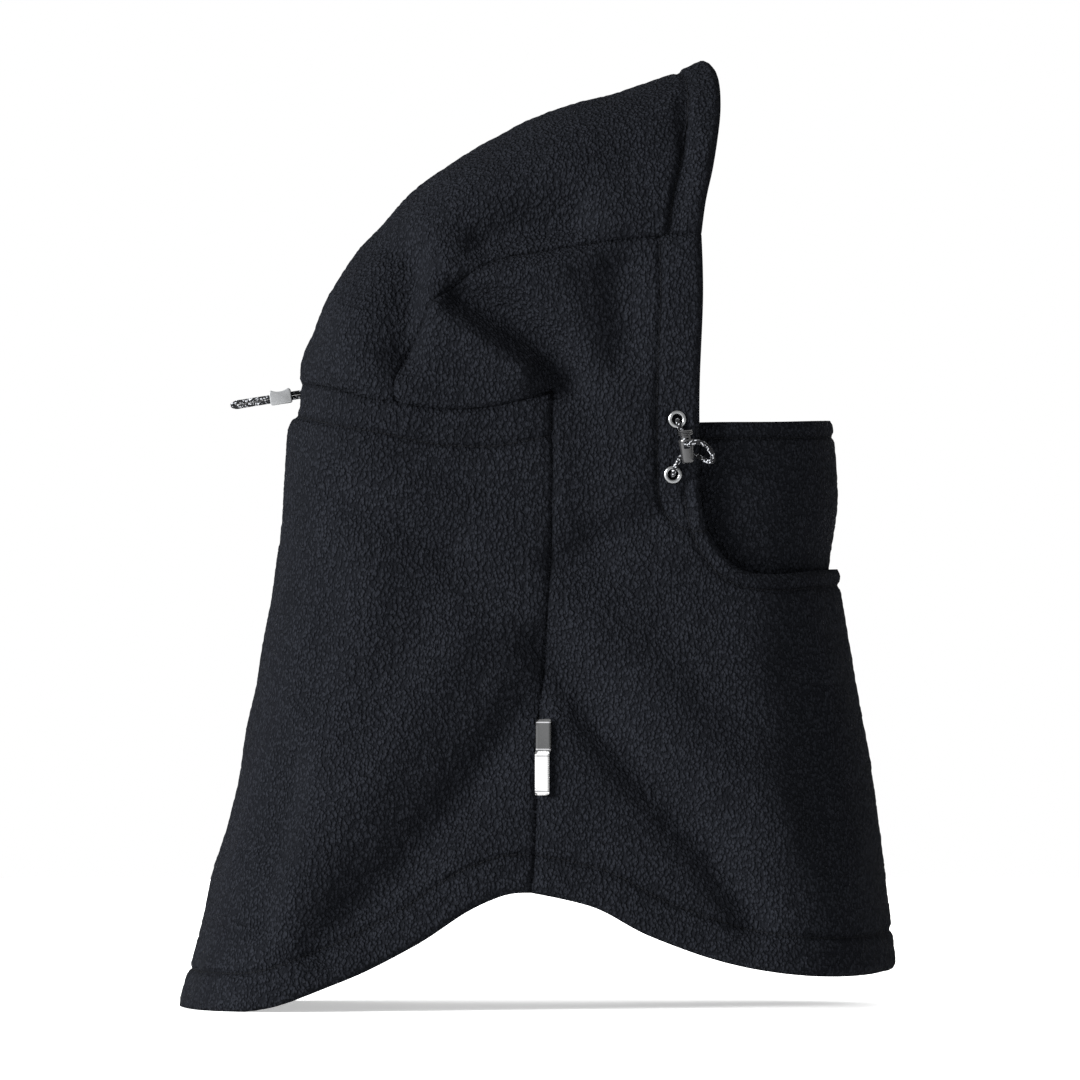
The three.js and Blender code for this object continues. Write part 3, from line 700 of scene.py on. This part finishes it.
def fleece_material(name, dark, lit, curl, sewn=True):
    """Curly pile: soft pebbles with dark valleys, longer up and down. curl is their size in metres.
    A sewn one has painted shade beside its seams and stitch lines, and shows the thread."""
    look, tree, shader = new_material(name, Roughness=0.96, Specular_IOR_Level=0.012)
    place = stretched(tree, object_place(tree), (1, 1, 0.72))
    bent = warped(tree, place, 0.5 / curl, curl * 0.7)
    cells_node = texture(tree, "ShaderNodeTexVoronoi", bent, Scale=1 / curl)
    pebble = between(tree, cells_node.outputs["Distance"], 0.75, 0.25)
    worms = texture(tree, "ShaderNodeTexNoise", bent, Scale=0.95 / curl, Detail=2.0, Roughness=0.55)
    curls = between(tree, worms.outputs["Fac"], 0.34, 0.66)
    fibre = texture(tree, "ShaderNodeTexNoise", place, Scale=2400.0, Detail=3.0, Roughness=0.7)
    body = added(tree, curls, 0.5, pebble)
    height = added(tree, fibre.outputs["Fac"], 0.3, body)
    patches = texture(tree, "ShaderNodeTexNoise", place, Scale=38.0, Detail=2.0)
    patch_shade = between(tree, patches.outputs["Fac"], 0.3, 0.7, 0.85, 1.0)
    shade = math_node(tree, "MULTIPLY", between(tree, body, 0.35, 1.25, 0.42, 1.0), patch_shade)
    if sewn:
        # Painted shade: the colour darkens towards the seams and stitch lines, where their grooves are in
        # shade.
        painted_seam_shade = between(tree, attribute(tree, "clear_of_seam_shade"), 0.0, 0.9, 0.7, 1.0)
        thread = sewing_thread(tree)
        cloth_colour = mixed(tree, math_node(tree, "MULTIPLY", shade, painted_seam_shade), dark, lit)
        tree.links.new(mixed(tree, thread, cloth_colour, THREAD_COLOUR), shader.inputs["Base Color"])
        height = added(tree, thread, 0.7, height)
    else:
        tree.links.new(mixed(tree, shade, dark, lit), shader.inputs["Base Color"])
    bumped(tree, shader, height, curl * 0.7, 1.0)
    return look


THREAD_COLOUR = (0.0065, 0.0068, 0.0078)
THREAD_HALF = 0.32  # half the thread's width, in mm
STITCH_LENGTH = 3.0


def attribute(tree, label):
    node = tree.nodes.new("ShaderNodeAttribute")
    node.attribute_name = label
    return node.outputs["Fac"]


def sewing_thread(tree):
    """1 on the stitches of the sewn lines, 0 elsewhere."""
    off = math_node(tree, "ABSOLUTE", attribute(tree, "stitch_off"))
    on_line = between(tree, off, THREAD_HALF * 1.4, THREAD_HALF * 0.6)
    beat = math_node(tree, "FRACT", math_node(tree, "DIVIDE", attribute(tree, "stitch_run"), STITCH_LENGTH))
    from_middle = math_node(tree, "ABSOLUTE", math_node(tree, "SUBTRACT", beat, 0.5))
    return math_node(tree, "MULTIPLY", on_line, between(tree, from_middle, 0.42, 0.34))


CORD_BLACK = (0.004, 0.0042, 0.005)
CORD_FLECK = (0.34, 0.35, 0.37)


def cord_material(name, repeat):
    """Black braid with pale flecks. repeat is the flecks' spacing in metres."""
    look, tree, shader = new_material(name, Roughness=0.8, Specular_IOR_Level=0.15)
    place = object_place(tree)
    cells_node = texture(tree, "ShaderNodeTexVoronoi", place, Scale=1 / repeat)
    fleck = between(tree, cells_node.outputs["Color"], 0.72, 0.76)
    weave = texture(tree, "ShaderNodeTexNoise", place, Scale=4000.0, Detail=2.0)
    tree.links.new(mixed(tree, fleck, CORD_BLACK, CORD_FLECK), shader.inputs["Base Color"])
    bumped(tree, shader, weave.outputs["Fac"], 0.0002, 0.5)
    return look


def hard_material(name, colour, roughness, metal=0.0, specular=0.5):
    """Moulded plastic or plated metal with faint wear in its gloss."""
    look, tree, shader = new_material(name, Metallic=metal, Specular_IOR_Level=specular)
    place = object_place(tree)
    wear = texture(tree, "ShaderNodeTexNoise", place, Scale=900.0, Detail=4.0)
    rough = between(tree, wear.outputs["Fac"], 0.3, 0.75, roughness * 0.8, roughness * 1.3)
    tree.links.new(rough, shader.inputs["Roughness"])
    darker = tuple(value * 0.78 for value in colour)
    blotch = texture(tree, "ShaderNodeTexNoise", place, Scale=260.0, Detail=2.0)
    tree.links.new(mixed(tree, blotch.outputs["Fac"], darker, colour), shader.inputs["Base Color"])
    bumped(tree, shader, wear.outputs["Fac"], 0.00006, 0.35)
    return look


FLEECE_CURL = 0.00175
FLEECE_LOOK = fleece_material("black_fleece", FLEECE_DARK, FLEECE_LIT, FLEECE_CURL)
CASING_LOOK = fleece_material("casing_fleece", FLEECE_DARK, FLEECE_LIT, FLEECE_CURL, sewn=False)
CORD_LOOK = cord_material("flecked_cord", 0.00062)
BLACK_PLASTIC = hard_material("black_plastic", (0.014, 0.0142, 0.015), 0.16, specular=0.55)
SILVER_PLASTIC = hard_material("silver_plastic", (0.2, 0.205, 0.21), 0.3, metal=0.5)
EYELET_METAL = hard_material("eyelet_metal", (0.22, 0.225, 0.23), 0.28, metal=1.0)
SPRING_METAL = hard_material("spring_steel", (0.55, 0.56, 0.57), 0.28, metal=1.0)

# ---- cords ----
LOOP = [
    (84.6, 73.9, -39.2), (84.7, 77, -38.8), (84.8, 80.4, -38.5), (85.4, 82.6, -40.6), (87.0, 82.6, -45.0),
    (88.6, 82.5, -48.8), (89.5, 83.4, -51.2), (89.6, 85.4, -51.8), (89.6, 88.6, -51.8),
    (89.7, 92.2, -51.8), (91.2, 95.0, -51.2), (94.4, 95.7, -50.2), (98.2, 94.8, -50.7),
    (101.4, 93.0, -53.4), (103.4, 91.0, -57.2), (103.6, 89.4, -60.1), (101.4, 88.0, -60.6),
    (98.4, 86.2, -59.2), (95.0, 84.2, -57.4), (91.2, 82.5, -56.4), (87.6, 82.4, -57.4),
    (85.0, 82.6, -60.4), (83.2, 82.6, -64.4), (82.4, 81.2, -67.2), (82.3, 78.0, -67.9),
    (82.2, 75.2, -68.6), (82.0, 73.8, -71.0), (82.0, 73.7, -75.0),
]
CORD_EXIT_X = -119
CORD_EXIT_Z = -23.6
STRAND = NECK_CORD / 2 + 0.05
TAIL_TILT = 0.16
REAR_LOCK_X = -130
FACE_LOCK = (89.6, 88.6, -52.3)
FACE_LOCK_TILT = -0.1


def cord_line(points, steps=10):
    """A centripetal curve through 3-D points, as the CAD's cords have."""
    p = np.array(points, float)
    p = np.vstack([2 * p[0] - p[1], p, 2 * p[-1] - p[-2]])
    t = np.linspace(0, 1, steps, endpoint=False)[:, None]
    spans = []
    for a, b, c, d in zip(p, p[1:], p[2:], p[3:]):
        ab, bc, cd = (max(np.linalg.norm(v), 1e-6) ** 0.5 for v in (b - a, c - b, d - c))
        into = ((b - a) / ab - (c - a) / (ab + bc) + (c - b) / bc) * bc
        out = ((c - b) / bc - (d - b) / (bc + cd) + (d - c) / cd) * bc
        cubic = (2 * b - 2 * c + into + out) * t**3 + (3 * c - 3 * b - 2 * into - out) * t**2
        spans.append(cubic + into * t + b)
    return np.vstack(spans + [p[-2:-1]])


BRAID_SIDES = 20
BRAID_PITCH = 2.6


def tube(line, radius):
    """Points and faces of a tube along a line. radius has a row for each point and a column for each side."""
    tangent = np.gradient(line, axis=0)
    tangent /= np.linalg.norm(tangent, axis=1)[:, None]
    side = np.cross(tangent[0], [0.3, 0.2, 0.9])
    sides = []
    for direction in tangent:
        side = side - direction * (side @ direction)
        side = side / np.linalg.norm(side)
        sides.append(side)
    sides = np.array(sides)
    other = np.cross(tangent, sides)
    count = radius.shape[1]
    angle = np.linspace(0, 2 * math.pi, count, endpoint=False)[None, :, None]
    around = np.cos(angle) * sides[:, None] + np.sin(angle) * other[:, None]
    points = line[:, None] + radius[..., None] * around
    grid = np.arange(len(line) * count).reshape(-1, count)
    grid = np.hstack([grid, grid[:, :1]])
    faces = quads(grid)[:, ::-1].tolist() + [grid[0, :-1].tolist(), grid[-1, :-1][::-1].tolist()]
    return points.reshape(-1, 3), faces


def braid(name, line, diameter, nodes, body="hood"):
    """A round braided cord along a line."""
    line = evenly(line, int(lengths(line)[-1] / 0.28))
    angle = np.linspace(0, 2 * math.pi, BRAID_SIDES, endpoint=False)[None, :]
    turn = (2 * math.pi * lengths(line) / BRAID_PITCH)[:, None]
    relief = np.maximum(np.sin(4 * angle + turn), np.sin(4 * angle - turn))
    ends = np.minimum(np.arange(len(line)), np.arange(len(line))[::-1])[:, None]
    radius = diameter / 2 * (0.97 + 0.05 * relief) * np.clip(0.7 + 0.15 * ends, 0, 1)
    points, faces = tube(line, radius)
    return piece(name, points, faces, CORD_LOOK, nodes, body), line


def add_face_loops():
    for side, sign in (("left", 1), ("right", -1)):
        line = cord_line([(x, sign * y, z) for x, y, z in LOOP])
        made, line = braid(f"{side}_loop", line, CORD, [f"{side}_cord_loop"], body=None)
        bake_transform(made)


def fall(x):
    return CORD_EXIT_Z + (x - CORD_EXIT_X) * TAIL_TILT


def back_ring(z, degrees):
    """A point at the cords' depth, this many degrees round from the middle of the back."""
    angle = math.radians(degrees)
    steep = math.hypot(1, float(smooth(BACK_LINE, z + 0.5) - smooth(BACK_LINE, z - 0.5)))
    back, front = float(smooth(BACK_LINE, z)), float(smooth(FRONT_LINE, z))
    axis = min(BACK_DEPTH, 0.55 * (front - back))
    width = float(smooth(HALF_WIDTH, z)) - CORD_DEPTH
    deep = axis - CORD_DEPTH * steep
    return (back + axis - deep * math.cos(angle) ** (2 / ROUND), width * math.sin(angle) ** (2 / ROUND), z)


def add_tail():
    start = back_ring(-26, 9)
    points = [(start[0], -start[1], start[2]), (-114.5, -2.2, -23.8), (-117.5, -0.3, -22.4)]
    points += [(x, 0, fall(x) + STRAND) for x in (-120, -130, -140, -151, -154.2)]
    points += [(-156.4, 0, fall(-156.4))]
    points += [(x, 0, fall(x) - STRAND) for x in (-154.2, -151, -140, -130, -120)]
    points += [(-117.5, 0.3, -24.6), (-114.5, 2.2, -25.4), start]
    made, line = braid("neck_tail", cord_line(points), NECK_CORD, ["neck_cord_tail"])


add_camera()
add_face_loops()
add_tail()

# ---- fleece ----
HEM_BAND = 20
BIB_BAND = 8
RIM_BAND = 22
BRIM_BAND = 17


def on_side(flat):
    return lifted(np.asarray(flat, float))


def add_fleece():
    crown_seam = np.vstack([spline(CROWN_SEAM_BACK)[::-1], spline(CROWN_SEAM_FRONT)[::-1][1:]])
    nape = inside(spline(CHANNEL_BACK))
    channel = np.vstack([nape, spline(CHANNEL_FRONT)[1:]])
    below = inside(spline(CHANNEL_BELOW))
    side_seam = spline(SIDE_SEAM)
    rim = inside(spline(FACE_RIM))
    upper_rim = part_of(rim, RIM_TOP, RIM_LOW)
    lower_rim = part_of(rim, RIM_LOW, rim[-1])
    brim = inside(spline(BRIM))

    offsets = worked([on_side(crown_seam), on_side(nape)], [(on_side(brim), BRIM_BAND)])
    crown = cloth("crown_fleece", crown_nets(), offsets, FLEECE_LOOK, ["crown_panel"])

    hem = (on_side(inside(spline(HEM_BACK))), HEM_BAND)
    offsets = worked([on_side(channel), on_side(side_seam)], [hem], [on_side(below)])
    back = cloth("back_fleece", back_nets(), offsets, FLEECE_LOOK, ["back_panel"])

    hem = inside(spline(HEM_FRONT))
    middle = lifted(outline(FRONT_LINE, rim[-1][1], hem[-1][1])[::10])
    offsets = worked(
        [on_side(crown_seam), on_side(spline(CHANNEL_FRONT)), on_side(side_seam), middle],
        [(on_side(hem), HEM_BAND), (on_side(lower_rim), BIB_BAND), (on_side(upper_rim), RIM_BAND)],
    )
    nets = side_nets()
    right = cloth("right_side_fleece", nets, offsets, FLEECE_LOOK, ["right_side_panel"])
    nets = [mirrored(net) for net in nets]
    left = cloth("left_side_fleece", nets, offsets, FLEECE_LOOK, ["left_side_panel"])


def add_mask():
    top = inside(spline(MASK_TOP), back=[(-400, -400), (400, -400)], front=MASK_FRONT)
    edge = lifted(top, mask_half_width)
    foot_x = np.linspace(MASK_REAR, 167.3, 60)
    foot = lifted(np.stack([foot_x, np.full(60, float(MASK_FOOT))], axis=1), mask_half_width)
    rear = np.array([edge[0], foot[0]])

    def seams_drop(near):
        return sum(roll(distance(near, line), SEAM_ROLL, FLEECE / 2) for line in (foot, rear))

    def outer(points):
        near = to_near_side(points)
        height = grain(points) + 0.8 * noise(points, 40, 6)
        away = distance(near, edge)
        height += roll(away, HEM_ROLL, FLEECE / 2) + groove(away - BIB_BAND)
        return height + seams_drop(near)

    def inner(points):
        near = to_near_side(points)
        height = 0.6 * grain(points[:, [1, 2, 0]]) + 0.8 * noise(points, 40, 6) - FLEECE
        height -= roll(distance(near, edge), HEM_ROLL, FLEECE / 2)
        return height - seams_drop(near)

    offsets = (outer, inner, lambda points: line_marks(points, [], [(edge, BIB_BAND)], []))
    made = cloth("mask_fleece", mask_nets(), offsets, FLEECE_LOOK, ["mask_panel"], "mask")


add_fleece()
add_mask()

for name in ("face_drawcord", "left_neck_cord", "right_neck_cord"):
    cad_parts[name].data.materials[0] = CORD_LOOK
for name in ("left_rim_casing", "right_rim_casing", "brim_casing", "neck_casing"):
    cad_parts[name].data.materials[0] = CASING_LOOK

# ---- eyelets, locks and tabs ----
TURN_STEPS = 48


def turned(profile):
    """Points and faces of (radius, height) pairs turned about Z: a closed loop, or a line between poles."""
    profile = np.array(profile, float)
    angle = np.linspace(0, 2 * math.pi, TURN_STEPS, endpoint=False)[None, :]
    solid = profile[0, 0] == 0
    body = profile[1:-1] if solid else profile
    radius, height = body[:, :1], body[:, 1:]
    ring = np.stack([radius * np.cos(angle), radius * np.sin(angle), height + 0 * angle], axis=-1)
    points = ring.reshape(-1, 3)
    grid = np.arange(len(points)).reshape(-1, TURN_STEPS)
    wrap = np.hstack([grid, grid[:, :1]])
    if not solid:
        return points, quads(np.vstack([wrap, wrap[:1]]))[:, ::-1].tolist()
    poles = np.array([[0, 0, profile[0, 1]], [0, 0, profile[-1, 1]]])
    low, high = len(points), len(points) + 1
    faces = quads(wrap)[:, ::-1].tolist()
    faces += [[low, b, a] for a, b in zip(wrap[0], wrap[0][1:])]
    faces += [[high, a, b] for a, b in zip(wrap[-1], wrap[-1][1:])]
    return np.vstack([points, poles]), faces


def placed(points, position, tilt=0.0):
    """Points turned about Y and set at a place."""
    turn = np.array(Matrix.Rotation(tilt, 3, "Y"))
    return np.asarray(points) @ turn.T + np.array(position, float)


def block(size, centre, bevel):
    """A box with rounded edges, as points and faces."""
    made = bmesh.new()
    bmesh.ops.create_cube(made, size=1)
    bmesh.ops.scale(made, vec=size, verts=made.verts)
    bmesh.ops.translate(made, vec=centre, verts=made.verts)
    bmesh.ops.bevel(made, geom=made.edges[:], offset=bevel, segments=4, profile=0.5, affect="EDGES")
    return parts_of(made)


def parts_of(made):
    made.verts.index_update()
    points = np.array([v.co[:] for v in made.verts])
    faces = [[v.index for v in f.verts] for f in made.faces]
    made.free()
    return points, faces


def bare_object(solid):
    mesh = bpy.data.meshes.new("tool")
    mesh.from_pydata([tuple(p) for p in solid[0]], [], solid[1])
    made = bpy.data.objects.new("tool", mesh)
    bpy.context.scene.collection.objects.link(made)
    return made


def combined(first, second, operation):
    """One solid cut by, or joined to, another."""
    a, b = bare_object(first), bare_object(second)
    change = a.modifiers.new("change", "BOOLEAN")
    change.operation = operation
    change.solver = "EXACT"
    change.object = b
    bpy.context.view_layer.update()
    mesh = a.evaluated_get(bpy.context.evaluated_depsgraph_get()).to_mesh()
    points = np.array([v.co[:] for v in mesh.vertices])
    faces = [list(f.vertices) for f in mesh.polygons]
    for used in (a, b):
        bpy.data.objects.remove(used)
    return points, faces


def hardware(name, solid, look, nodes, body):
    """A hard piece: smooth where it is round and sharp at its edges."""
    made = piece(name, solid[0], solid[1], look, nodes, body)
    made.data.set_sharp_from_angle(angle=0.7)
    return made


RING = [
    (2.6, -4.2), (3.0, -4.2), (3.05, -0.5), (4.9, -0.5), (5.0, 0.1), (4.85, 0.6), (4.5, 1.0), (4.0, 1.25),
    (3.5, 1.3), (3.05, 1.1), (2.75, 0.7), (2.6, 0.2),
]
WASHER = [
    (3.3, -4.3), (3.4, -4.42), (4.8, -4.42), (4.95, -4.25), (4.95, -3.85), (4.8, -3.7), (3.4, -3.7),
    (3.3, -3.8),
]


def on_wall(points, x, z, sign):
    """Points turned about Z, laid with that axis across the hood's side."""
    points = np.asarray(points)
    return np.stack([x + points[:, 0], sign * (SIDE_FACE + points[:, 2]), z + points[:, 1]], axis=1)


def flipped(faces, sign):
    return [face[::-1] for face in faces] if sign > 0 else faces


def add_eyelets():
    for side, sign in (("left", 1), ("right", -1)):
        for level, (x, z) in zip(("upper", "lower"), EYELETS):
            for kind, profile in (("eyelet", RING), ("washer", WASHER)):
                points, faces = turned(profile)
                solid = (on_wall(points, x, z, sign), flipped(faces, sign))
                node = f"{side}_{level}_{kind}"
                hardware(node + "_metal", solid, EYELET_METAL, [node], "hood")


BARREL = [
    (0, -9.2), (1.9, -9.2), (2.5, -9.05), (2.95, -8.7), (3.2, -8.1), (3.3, -7.2), (4.0, 1.6), (4.05, 2.2),
    (4.3, 2.6), (4.32, 3.05), (4.15, 3.5), (3.8, 3.65), (3.0, 3.65), (3.0, -8.0), (0, -8.0),
]
BUTTON = [
    (0, -4.0), (2.6, -4.0), (2.8, -3.8), (2.8, 5.6), (3.4, 5.7), (3.95, 5.9), (4.1, 6.2), (3.95, 6.5),
    (3.55, 6.7), (3.95, 6.9), (4.1, 7.2), (3.95, 7.5), (3.55, 7.7), (3.95, 7.9), (4.05, 8.2), (3.8, 8.5),
    (3.2, 8.6), (0, 8.7),
]
LOCK_HOLE = 3.2
HOLE_HEIGHT = 0.5
BUTTON_TRAVEL = 2.0


def coil(radius, wire, turns, low, high):
    """Points and faces of a coil spring along Z."""
    angle = np.linspace(0, 2 * math.pi * turns, 24 * turns + 1)
    height = np.linspace(low, high, len(angle))
    line = np.stack([radius * np.cos(angle), radius * np.sin(angle), height], axis=1)
    return tube(line, np.full((len(line), 10), wire / 2))


def squeezed(spring):
    """Gives the spring a mesh of its own."""
    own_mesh(spring)


def add_face_locks():
    hole = block((LOCK_HOLE, 20, LOCK_HOLE + 0.6), (0, 0, HOLE_HEIGHT), 0.5)
    slot_size = (LOCK_HOLE, 20, LOCK_HOLE + 0.6 + BUTTON_TRAVEL)
    slot = block(slot_size, (0, 0, HOLE_HEIGHT + BUTTON_TRAVEL / 2), 0.5)
    barrel = combined(turned(BARREL), hole, "DIFFERENCE")
    button = combined(turned(BUTTON), slot, "DIFFERENCE")
    spring = coil(1.9, 0.5, 3, -7.5, -4.5)
    for side, sign in (("left", 1), ("right", -1)):
        place = (FACE_LOCK[0], sign * FACE_LOCK[1], FACE_LOCK[2])
        for kind, solid, look, slot_name, body in (
            ("body", barrel, BLACK_PLASTIC, "lock_black", "lock"),
            ("button", button, BLACK_PLASTIC, "lock_black", "button"),
            ("spring", spring, SPRING_METAL, "spring_steel", "lock"),
        ):
            moved = (placed(solid[0], place, FACE_LOCK_TILT), solid[1])
            node = f"{side}_lock_{kind}"
            made = hardware(f"{side}_lock_{kind}_detail", moved, look, [node], f"{side}_{body}")
            if kind == "spring":
                squeezed(made)


def saddle_block():
    """The rear lock's block: flat below, scooped above, from (x, z) points carried across."""
    top = [(x, 3.35 + 1.25 * (abs(x) / 4.6) ** 2.2) for x in np.linspace(-4.6, 4.6, 17)]
    right = [(5.3, 4.3), (5.75, 3.7), (5.9, 2.8), (5.9, -2.6), (5.6, -3.3), (5.0, -3.65)]
    left = [(-x, z) for x, z in right[::-1]]
    outline_points = top + right + left
    made = bmesh.new()
    face = made.faces.new([made.verts.new((x, -6.5, z)) for x, z in outline_points])
    grown = bmesh.ops.extrude_face_region(made, geom=[face])
    moved = [v for v in grown["geom"] if isinstance(v, bmesh.types.BMVert)]
    bmesh.ops.translate(made, vec=(0, 13, 0), verts=moved)
    bmesh.ops.recalc_face_normals(made, faces=made.faces[:])
    ends = [e for e in made.edges if abs(abs(e.verts[0].co.y + e.verts[1].co.y) - 13) < 0.01]
    bmesh.ops.bevel(made, geom=ends, offset=0.5, segments=3, profile=0.5, affect="EDGES")
    return parts_of(made)


def add_rear_lock():
    tilt = -math.atan(TAIL_TILT)
    place = (REAR_LOCK_X, 0, fall(REAR_LOCK_X))
    height = 2 * STRAND + NECK_CORD + 0.4
    body = combined(saddle_block(), block((7.4, 13, 6.0), (0, 1.5, 0), 0.4), "DIFFERENCE")
    body = combined(body, block((40, 2.9, height), (0, 0, 0), 0.3), "DIFFERENCE")
    head = block((8.4, 1.8, 6.2), (0, 9.8, 0), 0.6)
    stem = combined(block((7.0, 11.6, 5.6), (0, 3.2, 0), 0.5), head, "UNION")
    slot = block((20, 2.9 + BUTTON_TRAVEL, height), (0, BUTTON_TRAVEL / 2, 0), 0.3)
    button = combined(stem, slot, "DIFFERENCE")
    points, faces = coil(1.6, 0.45, 3, 0, 1.6)
    spring = (np.stack([points[:, 0], points[:, 2] - 4.65, -points[:, 1]], axis=1), faces)
    for kind, solid, look, slot_name, part in (
        ("body", body, SILVER_PLASTIC, "lock_silver", "rear_lock"),
        ("button", button, SILVER_PLASTIC, "lock_silver", "rear_button"),
        ("spring", spring, SPRING_METAL, "spring_steel", "rear_lock"),
    ):
        moved = (placed(solid[0], place, tilt), solid[1])
        made = hardware(f"rear_lock_{kind}_detail", moved, look, [f"rear_lock_{kind}"], part)
        if kind == "spring":
            squeezed(made)


# The two woven tabs in the right side seam: x and z ranges.
TABS = {"upper_label": ((9.4, 15.9), (-216.4, -199.4)), "lower_label": ((8.9, 15.0), (-239.2, -217.0))}
TAB_HALF_THICKNESS = 0.35
TAB_RISE = 1.4


def tab_material(name, ground, mark, stripes):
    """A woven tab: fine ribs, with plain stripes between the (low, high) heights in mm."""
    look, tree, shader = new_material(name, Roughness=0.8)
    place = object_place(tree)
    ribs = texture(tree, "ShaderNodeTexWave", place, Scale=900.0, Distortion=0.4, Detail=1.0)
    ribs.bands_direction = "Z"
    height = tree.nodes.new("ShaderNodeSeparateXYZ")
    tree.links.new(place, height.inputs[0])
    on_mark = None
    for low, high in stripes:
        above = between(tree, height.outputs["Z"], (low - 0.08) * MM, (low + 0.08) * MM)
        below = between(tree, height.outputs["Z"], (high + 0.08) * MM, (high - 0.08) * MM)
        stripe = math_node(tree, "MULTIPLY", above, below)
        on_mark = stripe if on_mark is None else math_node(tree, "MAXIMUM", on_mark, stripe)
    tree.links.new(mixed(tree, on_mark, ground, mark), shader.inputs["Base Color"])
    bumped(tree, shader, ribs.outputs["Fac"], 0.00012, 0.6)
    return look


def add_tabs():
    stripes = [(-215.4, -214.8), (-201, -200.4)]
    dark = tab_material("dark_tab", (0.012, 0.0125, 0.013), (0.16, 0.16, 0.165), stripes)
    stripes = [(-237.9, -237.3), (-219, -218.4)]
    white = tab_material("white_tab", (0.27, 0.27, 0.27), (0.09, 0.09, 0.094), stripes)
    for (name, (across, up)), look, slot in zip(TABS.items(), (dark, white), ("label_dark", "label_white")):
        x = np.linspace(*across, 13)[None, :]
        z = np.linspace(*up, 41)[::-1][:, None]
        net = lifted(np.stack(np.broadcast_arrays(x, z), axis=-1))

        def rise(points, middle=across[0], width=across[1] - across[0]):
            return creases(points) + TAB_RISE + 0.9 * ((points[:, 0] - middle) / width) ** 2

        offsets = (
            lambda points: rise(points) + TAB_HALF_THICKNESS,
            lambda points: rise(points) - TAB_HALF_THICKNESS,
            lambda points: {},
        )
        cloth(name + "_woven", [net], offsets, look, [name])


add_eyelets()
add_face_locks()
add_rear_lock()
add_tabs()

# ---- floor and light ----


FLOOR_REACH = 3.0  # in metres
SUN_ENERGY = 13.0
SUN_ANGLE = 0.45
SUN_FROM = (-0.86, -0.44, 0.26)


def add_stage():
    level = CAD_BOX[0][2] - MM
    mesh = bpy.data.meshes.new("floor")
    corners = [(x * FLOOR_REACH, y * FLOOR_REACH, level) for x, y in ((-1, -1), (1, -1), (1, 1), (-1, 1))]
    mesh.from_pydata(corners, [], [(0, 1, 2, 3)])
    look, _, shader = new_material("floor_white", Roughness=0.9)
    shader.inputs["Base Color"].default_value = (0.9, 0.9, 0.9, 1)
    shader.inputs["Emission Color"].default_value = (1, 1, 1, 1)
    shader.inputs["Emission Strength"].default_value = 0.45
    mesh.materials.append(look)
    floor = bpy.data.objects.new("floor", mesh)
    bpy.context.scene.collection.objects.link(floor)
    world = bpy.data.worlds.new("studio")
    world.use_nodes = True
    world.node_tree.nodes["Background"].inputs["Color"].default_value = (1, 1, 1, 1)
    world.node_tree.nodes["Background"].inputs["Strength"].default_value = 1.0
    bpy.context.scene.world = world
    bpy.context.scene.view_settings.view_transform = "Standard"
    key = bpy.data.lights.new("key", "SUN")
    key.energy = SUN_ENERGY
    key.angle = SUN_ANGLE
    lamp = bpy.data.objects.new("key", key)
    lamp.rotation_euler = Vector(SUN_FROM).to_track_quat("Z", "Y").to_euler()
    bpy.context.scene.collection.objects.link(lamp)


add_stage()
